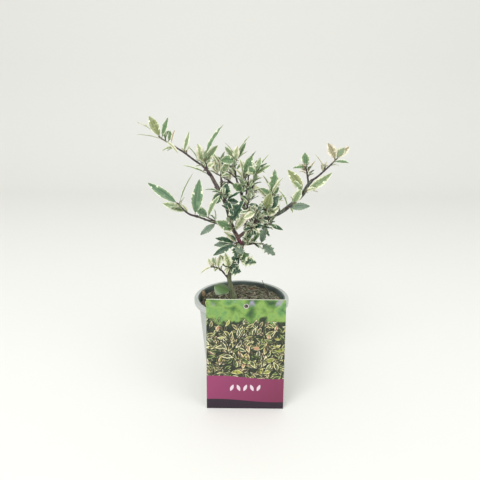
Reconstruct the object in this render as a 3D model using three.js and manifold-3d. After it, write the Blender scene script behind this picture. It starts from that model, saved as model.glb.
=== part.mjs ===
// Young variegated holly in a round nursery pot, with a picture card leaning on the pot's rim.
// Millimetres, +Z up. The origin is the centre of the pot's flat underside, and -Y is the front.
import * as THREE from 'three';
import { mergeVertices } from 'three/addons/utils/BufferGeometryUtils.js';
import Module from 'manifold-3d';

const wasm = await Module();
wasm.setup();

// Pot
const POT_HEIGHT = 105;
const POT_BASE_RADIUS = 40.1;
const POT_TAPER = 0.098;
const POT_WALL = 1.2;
const POT_FLOOR = 1.5;
const POT_FOOT_BEVEL = 1;
const RIM_RADIUS = 55;
const RIM_DEPTH = 5;
const RIM_BEVEL = 0.7;
const RIM_INNER_BEVEL = 1.7;
const POT_SEGMENTS = 36;

// Soil
const SOIL_TOP = 101;
const SOIL_FLAT_RADIUS = 15;
const SOIL_EDGE_DROP = 2.5;
const SOIL_BACK_RISE = 2.5;
const SOIL_EDGE_WIDTH = 6;
const SOIL_EDGE_SHARE = 0.4;
const SOIL_SLOPE_PLACE = 0.6;
const SOIL_SLOPE_SHARE = 0.15;

// Picture card
const CARD_WIDTH = 83;
const CARD_LENGTH = 124.5;
const CARD_THICKNESS = 0.6;
const CARD_CENTRE_X = 4.6;
const CARD_FOOT_Y = -62.4;
const CARD_HOLE_RADIUS = 2.1;
const CARD_HOLE_DROP = 7.5;

// Growth
const CLEARANCE = 0.33;
const LIMB_SIDES = 8;
const TWIG_SIDES = 3;
const LIMB_STEP = 7;
const TWIG_STEP = 9;
const STEM_RADIUS = 1.2;
const TWIG_RADIUS = 0.8;
const STALK_RADIUS = 0.3;
const LEAF_THICKNESS = 0.6;
const LEAF_BOW = 0.07;
const LEAF_WIDE_PLACE = 0.32;
const LEAF_NARROW_PLACE = 0.68;
const LEAF_NARROW_SHARE = 0.8;
const BLADE_FRONT_LEAN = 0.15;
const MERGE_DISTANCE = 0.0001;
const GAP_TOLERANCE = 0.99;

// What a mass takes from its seed: degrees, or shares of its leaf length
const GOLDEN_ANGLE = 137.5;
const ANGLE_SPREAD = [-20, 20];
const TWIG_OFFSET_ANGLE = 70;
const FIRST_TWIG_PLACE = 0.6;
const TWIG_LEAN = [40, 54];
const TWIG_SHARE = [0.55, 0.75];
const LEAF_LEAN = [34, 66];
const LEAF_SHARE = [0.75, 1.2];
const LEAF_SLIMNESS = [0.28, 0.4];
const LEAF_TURN = [-35, 65];
const BARE_STEM_SHARE = 0.3;
const BARE_TWIG_SHARE = 0.45;
const LAST_LEAF_PLACE = 0.99;

// Colours and roughness
const POT_COLOR = 0xb6baae;
const SOIL_COLOR = 0x4a3a2e;
const CARD_COLOR = 0x7d9a62;
const TRUNK_COLOR = 0x6d6a52;
const BOUGH_COLOR = 0x4b3a3c;
const LEAF_COLOR = 0x8aa884;
const POT_ROUGHNESS = 0.45;
const SOIL_ROUGHNESS = 0.95;
const CARD_ROUGHNESS = 0.5;
const BARK_ROUGHNESS = 0.8;
const LEAF_ROUGHNESS = 0.6;

// The limbs, from the soil up. A path runs along the middle of the limb.
const LIMBS = [
  {
    name: 'trunk',
    path: [[-7, 0, 97], [-10, 0, 108], [-13.5, -1, 121], [-14.5, -1, 130], [-9, 2, 147], [-1, 1, 164],
      [-5, 0, 176], [-11, 0, 187]],
    radii: [4.2, 2.9, 2.6, 2.5, 2.4, 2.3, 2.3, 2.3],
  },
  {
    name: 'bough_upper_left',
    path: [[-11, 0, 187], [-14, 2, 197], [-17, 4, 209], [-22, 6, 221], [-30, 8, 235], [-37, 10, 247],
      [-43, 11, 254]],
    radii: [2.4, 2.4, 2.3, 1.6],
  },
  {
    name: 'bough_lower_left',
    path: [[-10, 0, 185], [-18, -1, 189], [-28, -3, 193], [-38, -6, 197], [-49, -10, 202]],
    radii: [1.5, 1.2, 1.1],
  },
  {
    name: 'bough_centre',
    path: [[-1, 1, 163], [3, 6, 176], [4, 11, 198], [0, 13, 218], [-3, 12, 231]],
    radii: [2, 1.9, 1.6],
  },
  {
    name: 'bough_right',
    path: [[-5, 0, 176], [4, -3, 184], [15, -5, 192], [27, -5, 200], [42, -3, 206], [55, -1, 216],
      [66, 0, 226], [70, 0, 234], [75, 0, 241]],
    radii: [1.9, 1.9, 2, 2, 2.3, 1.8],
  },
  {
    name: 'bough_front',
    path: [[5, -3, 185], [7, -12, 188], [8, -22, 190]],
    radii: [1.4, 1.1],
  },
  {
    name: 'bough_back',
    path: [[4, 10, 192], [6, 22, 204], [4, 34, 216]],
    radii: [1.4, 1.2],
  },
  {
    name: 'bough_back_left',
    path: [[-22, 6, 221], [-24, 16, 233], [-25, 28, 243]],
    radii: [1.4, 1.1],
  },
  {
    name: 'bough_back_right',
    path: [[8, -4, 187], [19, 9, 196], [31, 24, 208]],
    radii: [1.4, 1.1],
  },
];

// The foliage masses. A stem starts on its limb's axis and is cut clear of the limb.
// A leaf is: place along the stem, reach right, back and up from there, width, turn of the blade.
// After its own leaves a mass takes more leaves of about a given length, and side twigs, all dealt
// out around the stem from its seed.
const MASSES = [
  {
    name: 'leaves_upper_left_tip',
    stem: [[-43, 11, 254], [-54, 13, 261], [-65, 14, 269], [-82, 16, 279], [-92, 17, 285]],
    leaves: [[0.98, -12, 2, 23, 10, 55], [0.96, 8, -2, 22, 6, 70], [0.82, 2, 5, 13, 5, 50],
      [0.9, -28, -8, 6, 5, -10], [0.97, -27, 6, 17, 5, -15], [0.75, 4, 6, 16, 3, 10],
      [0.9, 16, -7, -14, 5, 10], [0.47, 6, 4, 22, 5, 45], [0.12, -12, -6, 19, 4, 15],
      [0.03, -5, -3, 24, 10, 60], [0.05, 18, -7, 22, 9, 85]],
    more: 3, twigs: 0, length: 15, seed: 11,
  },
  {
    name: 'leaves_upper_left_middle',
    stem: [[-35, 9.5, 244], [-38, 4, 247], [-40, 3, 257], [-42, 3, 265]],
    leaves: [[0.97, 21, 0, 35, 6, 30], [0.12, -29, -5, 11, 4, 20], [0.4, 2, -4, 13, 6, -50],
      [0.55, 9, -4, 6, 6, 80]],
    more: 3, twigs: 0, length: 14, seed: 12,
  },
  {
    name: 'leaves_upper_left_inner',
    stem: [[-18.5, 4.6, 213], [-20, 0, 220], [-23, -1, 227]],
    leaves: [[0.4, 2, 4, 18, 12, 5], [0.95, -10, -12, -9, 11, 55], [0.97, -18, -3, 4, 4, 10],
      [0.3, 18, -6, 12, 5, 30], [0.4, 9, -8, -9, 9, 70], [0.3, 15, -4, 0, 8, 65]],
    more: 4, twigs: 0, length: 14, seed: 13,
  },
  {
    name: 'leaves_lower_left_tip',
    stem: [[-49, -10, 202], [-57, -13, 205], [-63, -15, 210], [-68, -18, 217]],
    leaves: [[0.98, -31, -4, 23, 9, 70], [0.97, 15, 5, 33, 5, -15], [0.12, 6, -3, 40, 12, 68],
      [0.5, -24, -9, 11, 9, 50]],
    more: 3, twigs: 0, length: 16, seed: 14,
  },
  {
    name: 'leaves_lower_left_inner',
    stem: [[-26, -2.6, 192], [-31, -8, 197], [-38, -10, 201]],
    leaves: [[0.25, -18, -5, -13, 7, 50], [0.95, -14, 2, 12, 9, 60], [0.97, 14, -8, 26, 7, 60],
      [0.35, -7, -3, 9, 4, 15]],
    more: 3, twigs: 0, length: 15, seed: 15,
  },
  {
    name: 'leaves_fork',
    stem: [[-8, 0, 181], [-10, -6, 188], [-13, -9, 196]],
    leaves: [[0.97, 14, -11, 27, 13, 85], [0.3, -20, -6, 12, 11, 66], [0.9, -5, -6, 8, 4, -70],
      [0.25, 23, -14, 33, 9, 85], [0.3, 6, -7, 16, 5, -70], [0.28, 12, -9, 14, 6, 70]],
    more: 2, twigs: 0, length: 15, seed: 16,
  },
  {
    name: 'leaves_centre_left',
    stem: [[-3, 12, 231], [-6, 12, 237], [-8, 13, 246], [-9, 14, 254], [-8, 14, 262]],
    leaves: [[0.97, -17, -4, 0, 10, 65], [0.96, -12, 3, 15, 7, 50], [0.98, -12, -5, 19, 4, 0],
      [0.97, 2, -2, 16, 8, 65], [0.98, 15, -1, 26, 5, 5], [0.9, 12, 5, 22, 5, 45],
      [0.95, 13, -8, 11, 4, 20], [0.6, -5, -4, 10, 4, 20]],
    more: 8, twigs: 1, length: 14, seed: 17,
  },
  {
    name: 'leaves_centre_side',
    stem: [[-2.2, 12.4, 227.5], [-8, 15, 232], [-14, 16, 237], [-22, 17, 242], [-30, 17, 246]],
    leaves: [[0.85, 10, -4, 16, 8, 85], [0.95, -5, -2, 21, 6, 40], [0.97, -9, -3, 4, 4, 20],
      [0.97, 4, 3, 15, 5, 40], [0.97, 1, -5, 12, 6, 20], [0.9, -9, -3, 12, 5, 60],
      [0.75, 1, -3, 10, 5, 20]],
    more: 3, twigs: 1, length: 12, seed: 18,
  },
  {
    name: 'leaves_centre_right',
    stem: [[1, 12.5, 213], [8, 8, 224], [11, 5, 233], [12, 4, 240], [14, 3, 247]],
    leaves: [[0.97, -8, -3, 10, 8, 85], [0.98, 5, 2, 18, 8, 50], [0.95, 15, 4, 23, 4, 0],
      [0.98, 12, -4, 13, 6, 25], [0.96, 16, -7, 12, 6, 50], [0.75, 3, -6, 9, 5, -45],
      [0.97, -11, -7, 3, 5, 35], [0.72, 10, -4, 7, 4, 15], [0.55, 9, -5, 2, 5, 40],
      [0.6, -7, -6, -2, 4, 30], [0.1, 8, -15, 16, 9, -75]],
    more: 6, twigs: 1, length: 15, seed: 19,
  },
  {
    name: 'leaves_centre_low',
    stem: [[3.5, 9, 190], [4, 0, 205], [7, -8, 221]],
    leaves: [[0.98, 0, -3, 10, 5, 50], [0.75, 12, -6, 12, 4, 5], [0.82, 13, -4, -3, 5, 40],
      [0.9, -8, -6, 8, 5, 40]],
    more: 8, twigs: 1, length: 13, seed: 20,
  },
  {
    name: 'leaves_centre_top',
    stem: [[-1, 12.8, 223], [1, 9, 231], [1, 9, 239], [1, 10, 247]],
    leaves: [[0.97, 9, -3, 21, 10, 85], [0.95, 14, 4, 26, 4, 5], [0.35, -3, -5, 14, 5, -50],
      [0.3, 5, -4, 11, 6, 55], [0.97, -5, -2, 17, 6, 55], [0.95, 7, -3, 6, 5, 50],
      [0.2, -12, -4, 9, 9, 75]],
    more: 8, twigs: 1, length: 15, seed: 37,
  },
  {
    name: 'leaves_front',
    stem: [[8, -22, 190], [11, -28, 197], [13, -31, 205], [14, -33, 213]],
    leaves: [[0.05, -5, -12, 22, 9, 75], [0.97, -13, -5, -6, 7, 55], [0.3, 12, -8, 2, 6, 60]],
    more: 22, twigs: 3, length: 12, seed: 21,
  },
  {
    name: 'leaves_front_left',
    stem: [[-15, 3, 202], [-14, -6, 207], [-14, -14, 212]],
    leaves: [],
    more: 4, twigs: 0, length: 12, seed: 38,
  },
  {
    name: 'leaves_right_inner',
    stem: [[24, -5, 198], [25, -11, 207], [26, -14, 211]],
    leaves: [[0.85, 4, -4, 20, 11, 85], [0.8, 13, 2, 17, 12, 62], [0.4, 15, -5, 10, 8, 80]],
    more: 8, twigs: 0, length: 14, seed: 22,
  },
  {
    name: 'leaves_right_upper',
    stem: [[31, -4.5, 201.5], [32, 1, 213], [32, 4, 224]],
    leaves: [[0.98, 3, 2, 29, 10, 30], [0.95, 12, -4, 21, 5, 35],
      [0.97, -10, 3, 22, 4, 5], [0.93, -13, -5, 10, 7, 60], [0.8, -16, 3, 12, 7, 50],
      [0.93, 10, -5, 0, 4, 30]],
    more: 5, twigs: 1, length: 15, seed: 23,
  },
  {
    name: 'leaves_right_under',
    stem: [[14, -5, 191], [22, -7, 190], [30, -7, 194]],
    leaves: [[0.98, 15, -4, -6, 5, 60], [0.95, 8, -4, 10, 5, 30]],
    more: 8, twigs: 0, length: 12, seed: 24,
  },
  {
    name: 'leaves_right_middle',
    stem: [[47, -2.3, 210], [51, -7, 213], [56, -8, 217]],
    leaves: [[0.97, 7, -2, 16, 9, 60], [0.35, 23, -6, 3, 8, 62], [0.3, -10, 2, 19, 4, 10]],
    more: 3, twigs: 0, length: 13, seed: 25,
  },
  {
    name: 'leaves_right_bend',
    stem: [[66, 0, 226], [66, -4, 228], [68, -7, 230]],
    leaves: [[0.5, -18, -2, 25, 11, 66], [0.9, 27, -3, 21, 9, 85], [0.95, 11, -6, 5, 5, 45],
      [0.45, -14, -6, 14, 8, 60]],
    more: 2, twigs: 0, length: 13, seed: 26,
  },
  {
    name: 'leaves_right_tip',
    stem: [[75, 0, 241], [81, 1, 245], [94, 2, 257], [102, 3, 265]],
    leaves: [[0.93, -10, -2, 18, 10, 80], [0.98, 13, 2, 13, 8, 55], [0.97, 6, -6, 12, 10, -60],
      [0.86, 15, -6, -1, 5, 35], [0.5, -11, 3, 17, 3, 0], [0.42, -2, 2, 8, 3, 10]],
    more: 3, twigs: 0, length: 12, seed: 27,
  },
  {
    name: 'leaves_right_fork',
    stem: [[72, 0, 237], [71, 3, 244], [70, 4, 250], [69, 6, 257]],
    leaves: [[0.98, -2, 1, 14, 9, 45], [0.85, -15, -3, 0, 5, 35], [0.5, -9, -3, 4, 4, 20],
      [0.75, 5, -3, 4, 4, 30], [0.55, 9, 3, 14, 4, 5]],
    more: 3, twigs: 0, length: 11, seed: 28,
  },
  {
    name: 'leaves_low_right',
    stem: [[-1.6, 0.8, 168], [7, -6, 170], [14, -9, 172], [22, -10, 172]],
    leaves: [[0.15, 12, -12, 19, 11, 80], [0.15, -1, -12, 23, 7, 75], [0.98, 15, -5, -12, 9, 50],
      [0.97, 5, -6, 20, 8, 85], [0.62, 12, 2, -8, 4, 5], [0.6, 10, -3, 17, 6, 45]],
    more: 10, twigs: 1, length: 11, seed: 29,
  },
  {
    name: 'leaves_trunk_left',
    stem: [[-3, 0.4, 171], [-7, -6, 171]],
    leaves: [[0.8, -24, -3, 6, 7, 40], [0.9, -25, 4, -4, 8, 50], [0.85, -26, -6, -13, 8, 52],
      [0.95, 0, -4, -16, 9, 0], [0.95, 8, -6, -11, 8, 50], [0.6, -15, -6, 14, 7, 60]],
    more: 2, twigs: 0, length: 13, seed: 30,
  },
  {
    name: 'leaves_trunk_right',
    stem: [[-5.6, 1.6, 154], [-2, -5, 152]],
    leaves: [[0.85, 19, -5, -3, 12, 64], [0.8, 11, -6, 8, 11, 75], [0.7, -10, -5, 1, 7, 60],
      [0.6, 3, -6, 6, 7, 20], [0.9, 9, -2, -6, 6, 60], [0.7, 6, -8, 12, 10, 70]],
    more: 2, twigs: 0, length: 11, seed: 31,
  },
  {
    name: 'leaves_trunk_low',
    stem: [[-12, 0.8, 140], [-14, -5, 142]],
    leaves: [[0.9, 13, -6, -3, 12, 60], [0.9, -5, -3, 18, 10, 85], [0.8, -9, -3, 5, 5, 50],
      [0.95, -6, -3, -3, 5, 45], [0.7, 9, -6, 6, 8, 70], [0.8, -11, -3, 16, 6, 60]],
    more: 2, twigs: 0, length: 10, seed: 32,
  },
  {
    name: 'leaves_foot_shoot',
    stem: [[-15.6, -1, 128], [-20, -3, 134], [-25, -4, 140], [-34, -8, 144]],
    leaves: [[0.95, -14, -2, -8, 5, 5], [0.93, 0, -2, 12, 6, -5], [0.97, -5, 2, 9, 6, 45],
      [0.7, 3, 0, 16, 6, 50], [0.78, -1, 3, 12, 5, 40], [0.5, 2, -9, 10, 4, 40]],
    more: 3, twigs: 0, length: 9, seed: 33,
  },
  {
    name: 'leaves_back',
    stem: [[4, 34, 216], [6, 42, 231], [8, 48, 252]],
    leaves: [],
    more: 10, twigs: 3, length: 17, seed: 34,
  },
  {
    name: 'leaves_back_left',
    stem: [[-25, 28, 243], [-25, 36, 250], [-24, 43, 258]],
    leaves: [],
    more: 10, twigs: 2, length: 17, seed: 35,
  },
  {
    name: 'leaves_back_right',
    stem: [[31, 24, 208], [33, 32, 209], [36, 39, 212]],
    leaves: [],
    more: 10, twigs: 2, length: 14, seed: 36,
  },
];

const vector = (point) => new THREE.Vector3(...point);
const curveThrough = (points) => new THREE.CatmullRomCurve3(points.map(vector), false, 'centripetal');

// A repeatable stream of numbers from 0 to 1 (the mulberry32 rule).
function randomStream(seed) {
  let state = seed >>> 0;
  return () => {
    state = (state + 0x6d2b79f5) >>> 0;
    let mixed = Math.imul(state ^ (state >>> 15), state | 1);
    mixed ^= mixed + Math.imul(mixed ^ (mixed >>> 7), mixed | 61);
    return ((mixed ^ (mixed >>> 14)) >>> 0) / 4294967296;
  };
}

// Joins rings of equally many points into one closed body, each end capped by its own ring or by a tip.
function closeRings(rings, tip) {
  const positions = [];
  const faces = [];
  const sides = rings[0].length;
  rings.flat().forEach((point) => positions.push(point.x, point.y, point.z));
  for (let ring = 0; ring + 1 < rings.length; ring += 1) {
    for (let side = 0; side < sides; side += 1) {
      const here = ring * sides + side;
      const next = ring * sides + ((side + 1) % sides);
      faces.push(here, next, here + sides, next, next + sides, here + sides);
    }
  }
  for (let side = 1; side + 1 < sides; side += 1) {
    faces.push(0, side + 1, side);
  }
  const last = (rings.length - 1) * sides;
  if (tip) {
    positions.push(tip.x, tip.y, tip.z);
    for (let side = 0; side < sides; side += 1) {
      faces.push(last + side, last + ((side + 1) % sides), rings.length * sides);
    }
  } else {
    for (let side = 1; side + 1 < sides; side += 1) {
      faces.push(last, last + side, last + side + 1);
    }
  }
  const geometry = new THREE.BufferGeometry();
  geometry.setAttribute('position', new THREE.Float32BufferAttribute(positions, 3));
  geometry.setIndex(faces);
  return geometry;
}

// The radius at a place from 0 to 1 along a list of one or more radii.
function radiusAlong(radii, place) {
  const at = place * (radii.length - 1);
  const from = Math.floor(at);
  const to = Math.min(from + 1, radii.length - 1);
  return THREE.MathUtils.lerp(radii[from], radii[to], at - from);
}

// A tapering tube along a curve, with flat ends. Growing it widens it and lengthens both ends.
function taperedTube(curve, radii, sides, step, grow = 0) {
  const count = Math.max(2, Math.round(curve.getLength() / step));
  const frames = curve.computeFrenetFrames(count, false);
  const rings = [];
  for (let index = 0; index <= count; index += 1) {
    const place = index / count;
    const centre = curve.getPointAt(place);
    const radius = radiusAlong(radii, place) + grow;
    if (index === 0) centre.addScaledVector(frames.tangents[index], -grow);
    if (index === count) centre.addScaledVector(frames.tangents[index], grow);
    const ring = [];
    for (let side = 0; side < sides; side += 1) {
      const angle = (side / sides) * 2 * Math.PI;
      ring.push(centre.clone()
        .addScaledVector(frames.normals[index], Math.cos(angle) * radius)
        .addScaledVector(frames.binormals[index], Math.sin(angle) * radius));
    }
    rings.push(ring);
  }
  return closeRings(rings);
}

function solidFrom(geometry) {
  const bare = geometry.clone();
  bare.deleteAttribute('normal');
  bare.deleteAttribute('uv');
  const merged = mergeVertices(bare, MERGE_DISTANCE);
  return new wasm.Manifold(new wasm.Mesh({
    numProp: 3,
    vertProperties: new Float32Array(merged.attributes.position.array),
    triVerts: new Uint32Array(merged.index.array),
  }));
}

function geometryFrom(solid) {
  const mesh = solid.getMesh();
  const geometry = new THREE.BufferGeometry();
  geometry.setAttribute('position', new THREE.Float32BufferAttribute(mesh.vertProperties, 3));
  geometry.setIndex([...mesh.triVerts]);
  geometry.computeVertexNormals();
  return geometry;
}

// The largest body of a solid, without loose scraps or sealed hollows.
function largestBody(solid) {
  const bodies = solid.decompose();
  return bodies.reduce((best, body) => (body.volume() > best.volume() ? body : best));
}

// The way a blade faces: up at turn 0, and to the front as the turn grows.
function bladeNormal(axis, turn) {
  const upward = new THREE.Vector3(0, -BLADE_FRONT_LEAN, 1).projectOnPlane(axis).normalize();
  const frontward = upward.clone().cross(axis);
  if (frontward.y > 0) frontward.negate();
  const angle = THREE.MathUtils.degToRad(turn);
  return upward.multiplyScalar(Math.cos(angle)).addScaledVector(frontward, Math.sin(angle));
}

// A leaf: a stalk sunk in its twig at the root, two rings with a ridge on the upper side, and a tip.
function leafGeometry(root, reach, width, turn) {
  const axis = reach.clone().normalize();
  const normal = bladeNormal(axis, turn);
  const across = normal.clone().cross(axis);
  const length = reach.length();
  const ringAt = (place, halfWidth, thickness, bow) => {
    const centre = root.clone().addScaledVector(reach, place).addScaledVector(normal, bow * length);
    return [
      centre.clone().addScaledVector(across, -halfWidth),
      centre.clone().addScaledVector(across, halfWidth),
      centre.clone().addScaledVector(normal, thickness),
    ];
  };
  const rings = [
    ringAt(0, STALK_RADIUS, STALK_RADIUS, 0),
    ringAt(LEAF_WIDE_PLACE, width / 2, LEAF_THICKNESS, LEAF_BOW),
    ringAt(LEAF_NARROW_PLACE, (width / 2) * LEAF_NARROW_SHARE, LEAF_THICKNESS, LEAF_BOW),
  ];
  return closeRings(rings, root.clone().add(reach));
}

// The direction at an angle around a stem, leaning from the stem by another angle, in degrees.
function leaningFrom(tangent, around, lean) {
  const side = new THREE.Vector3(0, 0, 1).cross(tangent).normalize();
  const top = tangent.clone().cross(side);
  const [turned, leaned] = [around, lean].map(THREE.MathUtils.degToRad);
  const out = side.multiplyScalar(Math.cos(turned)).addScaledVector(top, Math.sin(turned));
  return tangent.clone().multiplyScalar(Math.cos(leaned)).addScaledVector(out, Math.sin(leaned));
}

// The side twigs and further leaves of a mass, dealt out around its stem from its seed.
function seededGrowth(mass, stem) {
  const random = randomStream(mass.seed);
  const between = ([low, high]) => low + (high - low) * random();
  const start = random() * 360;
  const twigs = [];
  for (let index = 0; index < mass.twigs; index += 1) {
    const place = (index + FIRST_TWIG_PLACE) / (mass.twigs + FIRST_TWIG_PLACE);
    const around = start + TWIG_OFFSET_ANGLE + index * GOLDEN_ANGLE;
    const direction = leaningFrom(stem.getTangentAt(place), around, between(TWIG_LEAN));
    const root = stem.getPointAt(place);
    const tip = root.clone().addScaledVector(direction, mass.length * between(TWIG_SHARE));
    twigs.push(new THREE.CatmullRomCurve3([root, tip]));
  }
  const carriers = [stem, ...twigs];
  const ranks = Math.ceil(mass.more / carriers.length);
  const leaves = [];
  for (let index = 0; index < mass.more; index += 1) {
    const carrier = carriers[index % carriers.length];
    const rank = Math.floor(index / carriers.length);
    const bare = carrier === stem ? BARE_STEM_SHARE : BARE_TWIG_SHARE;
    const place = Math.min(LAST_LEAF_PLACE, bare + ((1 - BARE_STEM_SHARE) * (rank + 0.5)) / ranks);
    const around = start + index * GOLDEN_ANGLE + between(ANGLE_SPREAD);
    const direction = leaningFrom(carrier.getTangentAt(place), around, between(LEAF_LEAN));
    const length = mass.length * between(LEAF_SHARE);
    leaves.push({
      root: carrier.getPointAt(place),
      reach: direction.multiplyScalar(length),
      width: length * between(LEAF_SLIMNESS),
      turn: between(LEAF_TURN),
    });
  }
  return { twigs, leaves };
}

// Whether a solid lies closer than the clearance to any of the others.
function crowds(solid, box, others) {
  return others.some((other) => {
    const apart = [0, 1, 2].some((k) => box.min[k] > other.box.max[k] + CLEARANCE
      || box.max[k] < other.box.min[k] - CLEARANCE);
    return !apart && solid.minGap(other.solid, CLEARANCE) < CLEARANCE * GAP_TOLERANCE;
  });
}

const part = new THREE.Group();

function addNode(name, geometry, color, roughness) {
  const material = new THREE.MeshStandardMaterial({ color, roughness, metalness: 0 });
  const mesh = new THREE.Mesh(geometry, material);
  mesh.name = name;
  part.add(mesh);
  return mesh;
}

const potOuterRadius = (height) => POT_BASE_RADIUS + POT_TAPER * height;
const potInnerRadius = (height) => potOuterRadius(height) - POT_WALL;

// Turns a profile of radius and height about the Z axis.
function latheAboutZ(profile) {
  const points = profile.map(([radius, height]) => new THREE.Vector2(radius, height));
  return new THREE.LatheGeometry(points, POT_SEGMENTS).rotateX(Math.PI / 2);
}

function buildPot() {
  const rimTopUnderside = POT_HEIGHT - POT_WALL;
  const bevelFoot = POT_HEIGHT - RIM_INNER_BEVEL;
  const profile = [
    [0, 0],
    [POT_BASE_RADIUS - POT_FOOT_BEVEL, 0],
    [potOuterRadius(POT_FOOT_BEVEL), POT_FOOT_BEVEL],
    [potOuterRadius(rimTopUnderside), rimTopUnderside],
    [RIM_RADIUS - POT_WALL, rimTopUnderside],
    [RIM_RADIUS - POT_WALL, POT_HEIGHT - RIM_DEPTH],
    [RIM_RADIUS, POT_HEIGHT - RIM_DEPTH],
    [RIM_RADIUS, POT_HEIGHT - RIM_BEVEL],
    [RIM_RADIUS - RIM_BEVEL, POT_HEIGHT],
    [potInnerRadius(bevelFoot) + RIM_INNER_BEVEL, POT_HEIGHT],
    [potInnerRadius(bevelFoot), bevelFoot],
    [potInnerRadius(POT_FLOOR), POT_FLOOR],
    [0, POT_FLOOR],
  ];
  addNode('pot', latheAboutZ(profile), POT_COLOR, POT_ROUGHNESS);
}

// The soil falls towards the pot's wall and rises towards the back.
function buildSoil() {
  const edgeTop = SOIL_TOP - SOIL_EDGE_DROP;
  const bottom = POT_FLOOR + CLEARANCE;
  const edgeRadius = (height) => potInnerRadius(height) - CLEARANCE;
  const profile = [
    [0, bottom],
    [edgeRadius(bottom), bottom],
    [edgeRadius(edgeTop), edgeTop],
    [edgeRadius(edgeTop) - SOIL_EDGE_WIDTH, edgeTop + SOIL_EDGE_DROP * SOIL_EDGE_SHARE],
    [edgeRadius(edgeTop) * SOIL_SLOPE_PLACE, SOIL_TOP - SOIL_EDGE_DROP * SOIL_SLOPE_SHARE],
    [SOIL_FLAT_RADIUS, SOIL_TOP],
    [0, SOIL_TOP],
  ];
  const geometry = latheAboutZ(profile);
  const place = geometry.attributes.position;
  for (let index = 0; index < place.count; index += 1) {
    const beyond = Math.max(0, place.getY(index) - SOIL_FLAT_RADIUS);
    const rise = (SOIL_BACK_RISE * beyond) / (edgeRadius(edgeTop) - SOIL_FLAT_RADIUS);
    if (place.getZ(index) > SOIL_TOP / 2) place.setZ(index, place.getZ(index) + rise);
  }
  geometry.computeVertexNormals();
  addNode('soil', geometry, SOIL_COLOR, SOIL_ROUGHNESS);
}

// The card stands on its lower edge in front of the pot and leans back on the rim.
function buildCard() {
  const outline = new THREE.Shape();
  outline.moveTo(-CARD_WIDTH / 2, 0);
  outline.lineTo(CARD_WIDTH / 2, 0);
  outline.lineTo(CARD_WIDTH / 2, CARD_LENGTH);
  outline.lineTo(-CARD_WIDTH / 2, CARD_LENGTH);
  outline.closePath();
  const hole = new THREE.Path();
  hole.absarc(0, CARD_LENGTH - CARD_HOLE_DROP, CARD_HOLE_RADIUS, 0, 2 * Math.PI);
  outline.holes.push(hole);
  const settings = { depth: CARD_THICKNESS, bevelEnabled: false, curveSegments: 8 };
  const backGap = -CARD_FOOT_Y - RIM_RADIUS - CLEARANCE;
  const lean = Math.atan2(backGap, POT_HEIGHT - RIM_BEVEL);
  const geometry = new THREE.ExtrudeGeometry(outline, settings)
    .translate(0, 0, -CARD_THICKNESS)
    .rotateX(Math.PI / 2)
    .rotateX(-lean);
  const card = addNode('picture_card', geometry, CARD_COLOR, CARD_ROUGHNESS);
  geometry.computeBoundingBox();
  const foot = -geometry.boundingBox.min.z;
  card.position.set(CARD_CENTRE_X, CARD_FOOT_Y - CARD_THICKNESS, foot);
}

// Every limb in turn is cut clear of those before it, and the trunk is cut flat at the soil.
function buildLimbs() {
  const ground = new THREE.BoxGeometry(RIM_RADIUS, RIM_RADIUS, SOIL_TOP)
    .translate(0, 0, SOIL_TOP / 2 + CLEARANCE);
  const limbs = [];
  LIMBS.forEach(({ name, path, radii }) => {
    const curve = curveThrough(path);
    let solid = solidFrom(taperedTube(curve, radii, LIMB_SIDES, LIMB_STEP)).subtract(solidFrom(ground));
    limbs.forEach((limb) => {
      solid = solid.subtract(limb.grown);
    });
    solid = largestBody(solid);
    const grown = solidFrom(taperedTube(curve, radii, LIMB_SIDES, LIMB_STEP, CLEARANCE));
    limbs.push({ name, solid, grown, box: solid.boundingBox() });
    addNode(name, geometryFrom(solid), name === 'trunk' ? TRUNK_COLOR : BOUGH_COLOR, BARK_ROUGHNESS);
  });
  return limbs;
}

// The stem and side twigs of a mass, cut clear of the limbs and of the stems before it.
function buildStem(mass, limbs, stems) {
  const curve = curveThrough(mass.stem);
  const growth = seededGrowth(mass, curve);
  let solid = solidFrom(taperedTube(curve, [STEM_RADIUS, TWIG_RADIUS], TWIG_SIDES, TWIG_STEP));
  growth.twigs.forEach((twig) => {
    const twigSolid = solidFrom(taperedTube(twig, [TWIG_RADIUS], TWIG_SIDES, TWIG_STEP));
    if (!crowds(twigSolid, twigSolid.boundingBox(), [...limbs, ...stems])) {
      solid = solid.add(twigSolid);
    }
  });
  limbs.forEach((limb) => {
    solid = solid.subtract(limb.grown);
  });
  solid = largestBody(solid);
  return { mass, curve, growth, solid, box: solid.boundingBox() };
}

// The leaves that a mass states for itself.
function statedLeaves(stem) {
  return stem.mass.leaves.map(([place, right, back, up, width, turn]) => ({
    root: stem.curve.getPointAt(place),
    reach: new THREE.Vector3(right, back, up),
    width,
    turn,
  }));
}

// Fuses to a stem those of its leaves that stay clear of the limbs and of every other mass.
function addLeaves(stem, leaves, limbs, stems, placed) {
  const others = [
    ...limbs,
    ...stems.filter((other) => other !== stem),
    ...placed.filter((leaf) => leaf.owner !== stem),
  ];
  leaves.forEach((leaf) => {
    const solid = solidFrom(leafGeometry(leaf.root, leaf.reach, leaf.width, leaf.turn));
    const box = solid.boundingBox();
    if (crowds(solid, box, others)) return;
    stem.solid = stem.solid.add(solid);
    placed.push({ owner: stem, solid, box });
  });
}

buildPot();
buildSoil();
buildCard();
const limbs = buildLimbs();
const stems = [];
MASSES.forEach((mass) => stems.push(buildStem(mass, limbs, stems)));
const placed = [];
stems.forEach((stem) => addLeaves(stem, statedLeaves(stem), limbs, stems, placed));
stems.forEach((stem) => addLeaves(stem, stem.growth.leaves, limbs, stems, placed));
stems.forEach((stem) => {
  addNode(stem.mass.name, geometryFrom(largestBody(stem.solid)), LEAF_COLOR, LEAF_ROUGHNESS);
});

export default part;
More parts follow.
